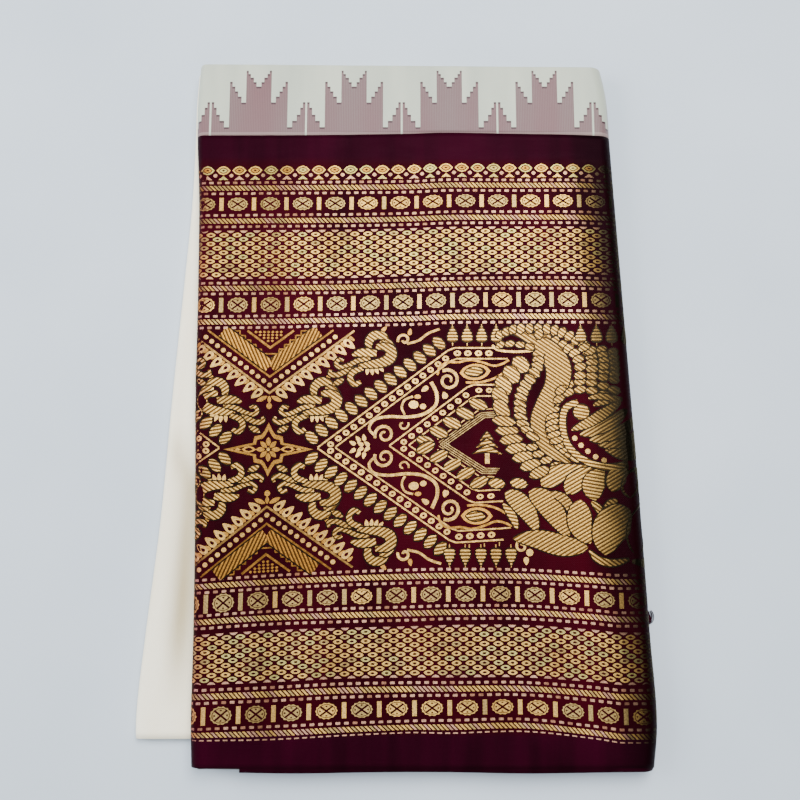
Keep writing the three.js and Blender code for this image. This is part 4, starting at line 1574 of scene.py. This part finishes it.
spineLine = [(82, 57), (98, 57), (113, 51), (127, 41), (135, 27), (133, 11), (124, -3), (117, -18),
             (118.5, -33), (128, -46), (143, -55)]
spineWidth = [1.5, 4.0, 9.5, 17, 21, 19, 14.5, 12, 11, 8.5, 2.0]
featherRows = [
    # the line the leaves stand on, how many, length and width at both ends, and which way they point
    ([(86, 55), (97, 59.6), (111, 60.4), (126, 60), (139, 57), (151, 50), (163, 41)],
     13, (8.4, 10), (6.4, 6.4), (20, 80, 90, 45, 25)),
    ([(119, 55.4), (128, 51.6), (137, 47), (144.4, 43), (150.4, 37.4), (153.4, 29.4), (153.4, 19.6)],
     9, (9.2, 10.4), (6.6, 6.2), (70, 45, 25, 5)),
    ([(157.6, 44), (163.4, 37), (164, 29), (163.4, 19)], 6, (10.6, 10.2), (5.6, 5.6), (25, 5, -8)),
    ([(172, 42), (174, 34), (174, 26), (173, 18)], 6, (9.6, 9.2), (5.4, 5.4), (15, 0, -10)),
    ([(182, 40), (183, 32), (183, 24), (182, 16)], 6, (8.4, 8.4), (5.2, 5.2), (10, 0, -10)),
    ([(136.6, 7), (144, 12), (153, 14.2), (163, 13.4), (173, 10.6), (182, 7)],
     6, (10.6, 10), (5.8, 5.6), (38, 5, -15)),
    ([(135, -0.6), (143, 5), (153, 7.4), (163, 6.6), (173, 3.4), (182, -1)],
     6, (11, 10), (5.8, 5.6), (32, 5, -18)),
    ([(130.2, -5.6), (129, -16), (128.8, -26), (132, -36), (139.4, -45), (148.4, -51.6)],
     11, (13, 11.4), (5.2, 5.0), (26, 24, 14, -8)),
    ([(118.4, 38), (118, 30.6), (115.6, 23.6), (110.6, 16.6), (105.8, 9.4), (103, 2.4), (101.8, -5),
      (101.8, -12.4), (103, -20), (107.4, -27.4), (113.4, -34), (120, -40.4), (127.4, -46.6)],
     17, (10, 12.6), (7.2, 5.4), (0, -40, -35, -25, -18, -28, -36)),
    ([(103, 29), (95, 20.4), (88, 11), (85, 1), (86, -9.4)],
     5, (16.4, 19.4), (12.6, 11.4), (-42, -55, -62, -58)),
    ([(88, -19.6), (90.6, -27.6), (94, -35.2), (98.4, -42.6), (103.6, -49.8), (109.8, -56.6), (117, -62.8)],
     7, (20, 18.4), (8.0, 8.4), (-8, 6, 10, 24)),
    ([(111, -41.6), (116.4, -47.4), (123, -52.6), (131, -57)], 4, (10, 10), (5.4, 5.4), (0, 14)),
    ([(86, 46), (94, 47), (103, 46.2), (111, 44.4)], 4, (8.4, 8.4), (5.0, 5.0), (30, 5, -15)),
]


def paisleyShapes():
    path = smoothPath(spineLine, 44)
    width = smoothLine(np.arange(len(spineWidth)), spineWidth, np.linspace(0, len(spineWidth) - 1, 44))
    shapes = [strip(path, width, hatch=steepHatch)]
    for line, count, lengths, widths, ways in featherRows:
        t = np.linspace(0, 1, count)
        knots = np.linspace(0, 1, len(line))
        line = np.asarray(line, float)
        x, y = (smoothLine(knots, line[:, k], t) for k in (0, 1))
        for k in range(count):
            length, thick = np.interp(t[k], [0, 1], lengths), np.interp(t[k], [0, 1], widths)
            way = np.interp(t[k], np.linspace(0, 1, len(ways)), ways)
            shapes.append(patch(leafShape(x[k], y[k], length, thick, way, 0.45), hatch=steepHatch))
    shapes.append(strip(smoothPath([(79, 46), (84, 41.6), (96, 40.2), (108, 40.6), (117, 42)], 14), 2.4))
    return shapes


def lotusShapes():
    stem = [(151, -3.4), (142, -7), (138, -15), (138.2, -30), (143, -42), (152, -50.6), (164, -56.4),
            (178, -58.6), (192, -56)]
    buds = [(147.5, -34), (152.6, -40), (158.2, -45), (164.6, -49.6), (171.6, -52.6)]
    shapes = [strip(smoothPath(stem, 32), 5.0, hatch=upperHatch)]
    shapes += [patch(ellipse(x, y, 2.5, 2.4, 9)) for x, y in buds]
    petals = [
        # the line of each petal from its tip to its foot, its greatest width and where along it, hatch
        ([(158, -57.4), (140, -60.8), (128, -66.4), (118.6, -74)], 15.4, 0.66, lowerHatch),
        ([(166, -58.6), (155, -63.6), (146.4, -71), (139.4, -80.6)], 15, 0.66, lowerHatch),
        ([(171.6, -60), (165, -67), (161.8, -75), (163.4, -86)], 18.4, 0.58, upperHatch),
        ([(192, -60), (185, -63), (180, -70), (178, -79)], 15, 0.55, lowerHatch),
        ([(208, -60), (199, -65), (193, -74), (192, -84)], 15, 0.6, lowerHatch),
        ([(224, -64), (216, -70), (211, -78), (211, -88)], 15, 0.6, lowerHatch),
        ([(86, -89), (91, -95), (95, -102), (97.4, -110)], 6.4, 0.5, upperHatch),
        ([(88, -79.6), (98, -86), (107, -96.6), (114.6, -112)], 15.4, 0.45, lowerHatch),
        ([(108, -79), (120, -86), (130, -98.6), (140.6, -117)], 18.6, 0.45, lowerHatch),
        ([(124, -79.6), (134, -83), (140.4, -89.6), (143.4, -100)], 7.6, 0.5, lowerHatch),
        ([(150.4, -85.6), (149.6, -96), (150.4, -108), (158.2, -121.6)], 20, 0.5, lowerHatch),
        ([(160, -87), (165, -92), (168.6, -97), (170, -101)], 5.4, 0.45, steepHatch),
        ([(170, -97), (173, -92), (177, -88), (182, -86)], 6, 0.5, steepHatch),
        ([(192, -94), (182, -101), (173, -113), (170, -131)], 29, 0.52, lowerHatch),
        ([(214, -88), (208, -98), (200, -112), (196, -131)], 24, 0.56, lowerHatch),
        ([(230, -94), (226, -104), (219, -116), (216, -131)], 18, 0.56, lowerHatch),
        ([(94, -117.6), (113, -118), (136, -123.6), (156, -125)], 17, 0.56, lowerHatch),
        ([(157, -127.4), (164, -134.6), (176, -137.6), (190, -134.6)], 5.6, 0.5, steepHatch),
        ([(192, -136), (206, -138), (218, -137), (230, -134)], 5.6, 0.5, steepHatch),
        ([(145, -27), (160, -20.6), (174, -12), (187, -3)], 8.4, 0.5, steepHatch),
        ([(152, -31), (167, -27.4), (180, -20), (193, -9)], 9.4, 0.5, lowerHatch),
        ([(160, -35.4), (175, -33.6), (189, -27), (203, -16)], 9.4, 0.5, lowerHatch),
        ([(167, -39.4), (183, -40), (198, -35), (213, -25)], 9.6, 0.55, lowerHatch),
        ([(173, -43.6), (188, -47.4), (204, -44), (221, -35)], 10, 0.55, lowerHatch),
        ([(164, -6), (172, -3), (180, -1), (189, -1)], 5.4, 0.5, steepHatch),
        ([(160, 0), (168, 1.6), (176, 1), (184, -1)], 4.8, 0.5, steepHatch),
    ]
    for points, widest, where, hatch in petals:
        t = np.linspace(0, 1, 16)
        bulge = np.sin(math.pi * t ** (math.log(0.5) / math.log(where))) ** 0.58
        shapes.append(strip(smoothPath(points, 16), np.maximum(widest * bulge, 0.8), hatch=hatch))
    shapes.append(patch(ellipse(153.6, -11.6, 6.6, 6.4, 16), hatch=upperHatch))
    shapes += [patch(leafShape(x, -72, 14.5, 8.0, -8, 0.5), hatch=lowerHatch) for x in (81, 99.5)]
    shapes += [strip(spiral(101, -124, 5.4, 1.2, 60, 1, 18), 2.4),
               patch(ellipse(107.5, -129, 3.2, 3.2)), patch(dropShape(104.5, -136, 7, 4.4, 270))]
    return shapes


def isTopCone(shape):
    # the upper row of small cones, turned over, which is left out because that row is drawn anew
    x, y = shape["a"].mean(axis=0)
    return 40 < x < 88 and y < -124


def figureShapes():
    middleX = figurePlan["middleX"]

    def beside(shapes, side):
        # those to the right (1) or the left (-1) of the band's middle, or on it (0)
        offsets = [shape["a"][:, 0].mean() - middleX for shape in shapes]
        sides = [int(offset > 0.5) - int(offset < -0.5) for offset in offsets]
        return [shape for shape, its in zip(shapes, sides) if its == side]

    chevrons, diamonds, star = chevronShapes(), diamondShapes(), starShapes()
    loop = [strip(spiral(3.5, 50.5, 5.6, 1.0, 200, -1, 20), 2.6),
            strip(smoothPath([(6, 47), (16, 50), (24, 56), (34, 60)], 14), 2.4),
            patch(dropShape(8.5, 57.5, 6.5, 3.6, 80), "gold")]
    birds = birdShapes(-62, 2.5) + birdShapes(-15.5, 43.0) + loop
    upper = chevrons + birds + diamonds
    lower = [shape for shape in belowAxis(upper) if not isTopCone(shape)]
    both = upper + lower + star + treeShapes()
    right = paisleyShapes() + lotusShapes()
    for x in (155, 168.5, 181.5, 195, 208, 221):
        right += coneShapes(x, 54.6)
    for x in (41, 54, 67, 79.5, 92):
        right += mirrored(coneShapes(x, -131.5), 1, -131.5)
    outside = mirrored(birds + belowAxis(birds) + diamonds + belowAxis(diamonds), 0, middleX)
    left = beside(chevrons + belowAxis(chevrons) + star, -1)
    whole = beside(both, 1) + right + beside(both, 0) + left + outside
    return whole + mirrored(whole, 0, figurePlan["underAxis"])


zariPieces = [
    layShapes("zariOvals", ovalShapes(), True), layShapes("zariDashes", dashShapes(), True),
    layShapes("zariRopes", ropeShapes(), True), layShapes("zariMedallions", medallionShapes(), True),
    layShapes("zariLattice", latticeShapes(), True), layShapes("zariFigures", figureShapes(), False),
]
print("the gold pattern is laid")

for piece in bpy.context.scene.objects:
    if piece.type == "MESH" and not piece.hide_render:
        print(piece.name, sum(len(f.vertices) - 2 for f in piece.data.polygons), "triangles")
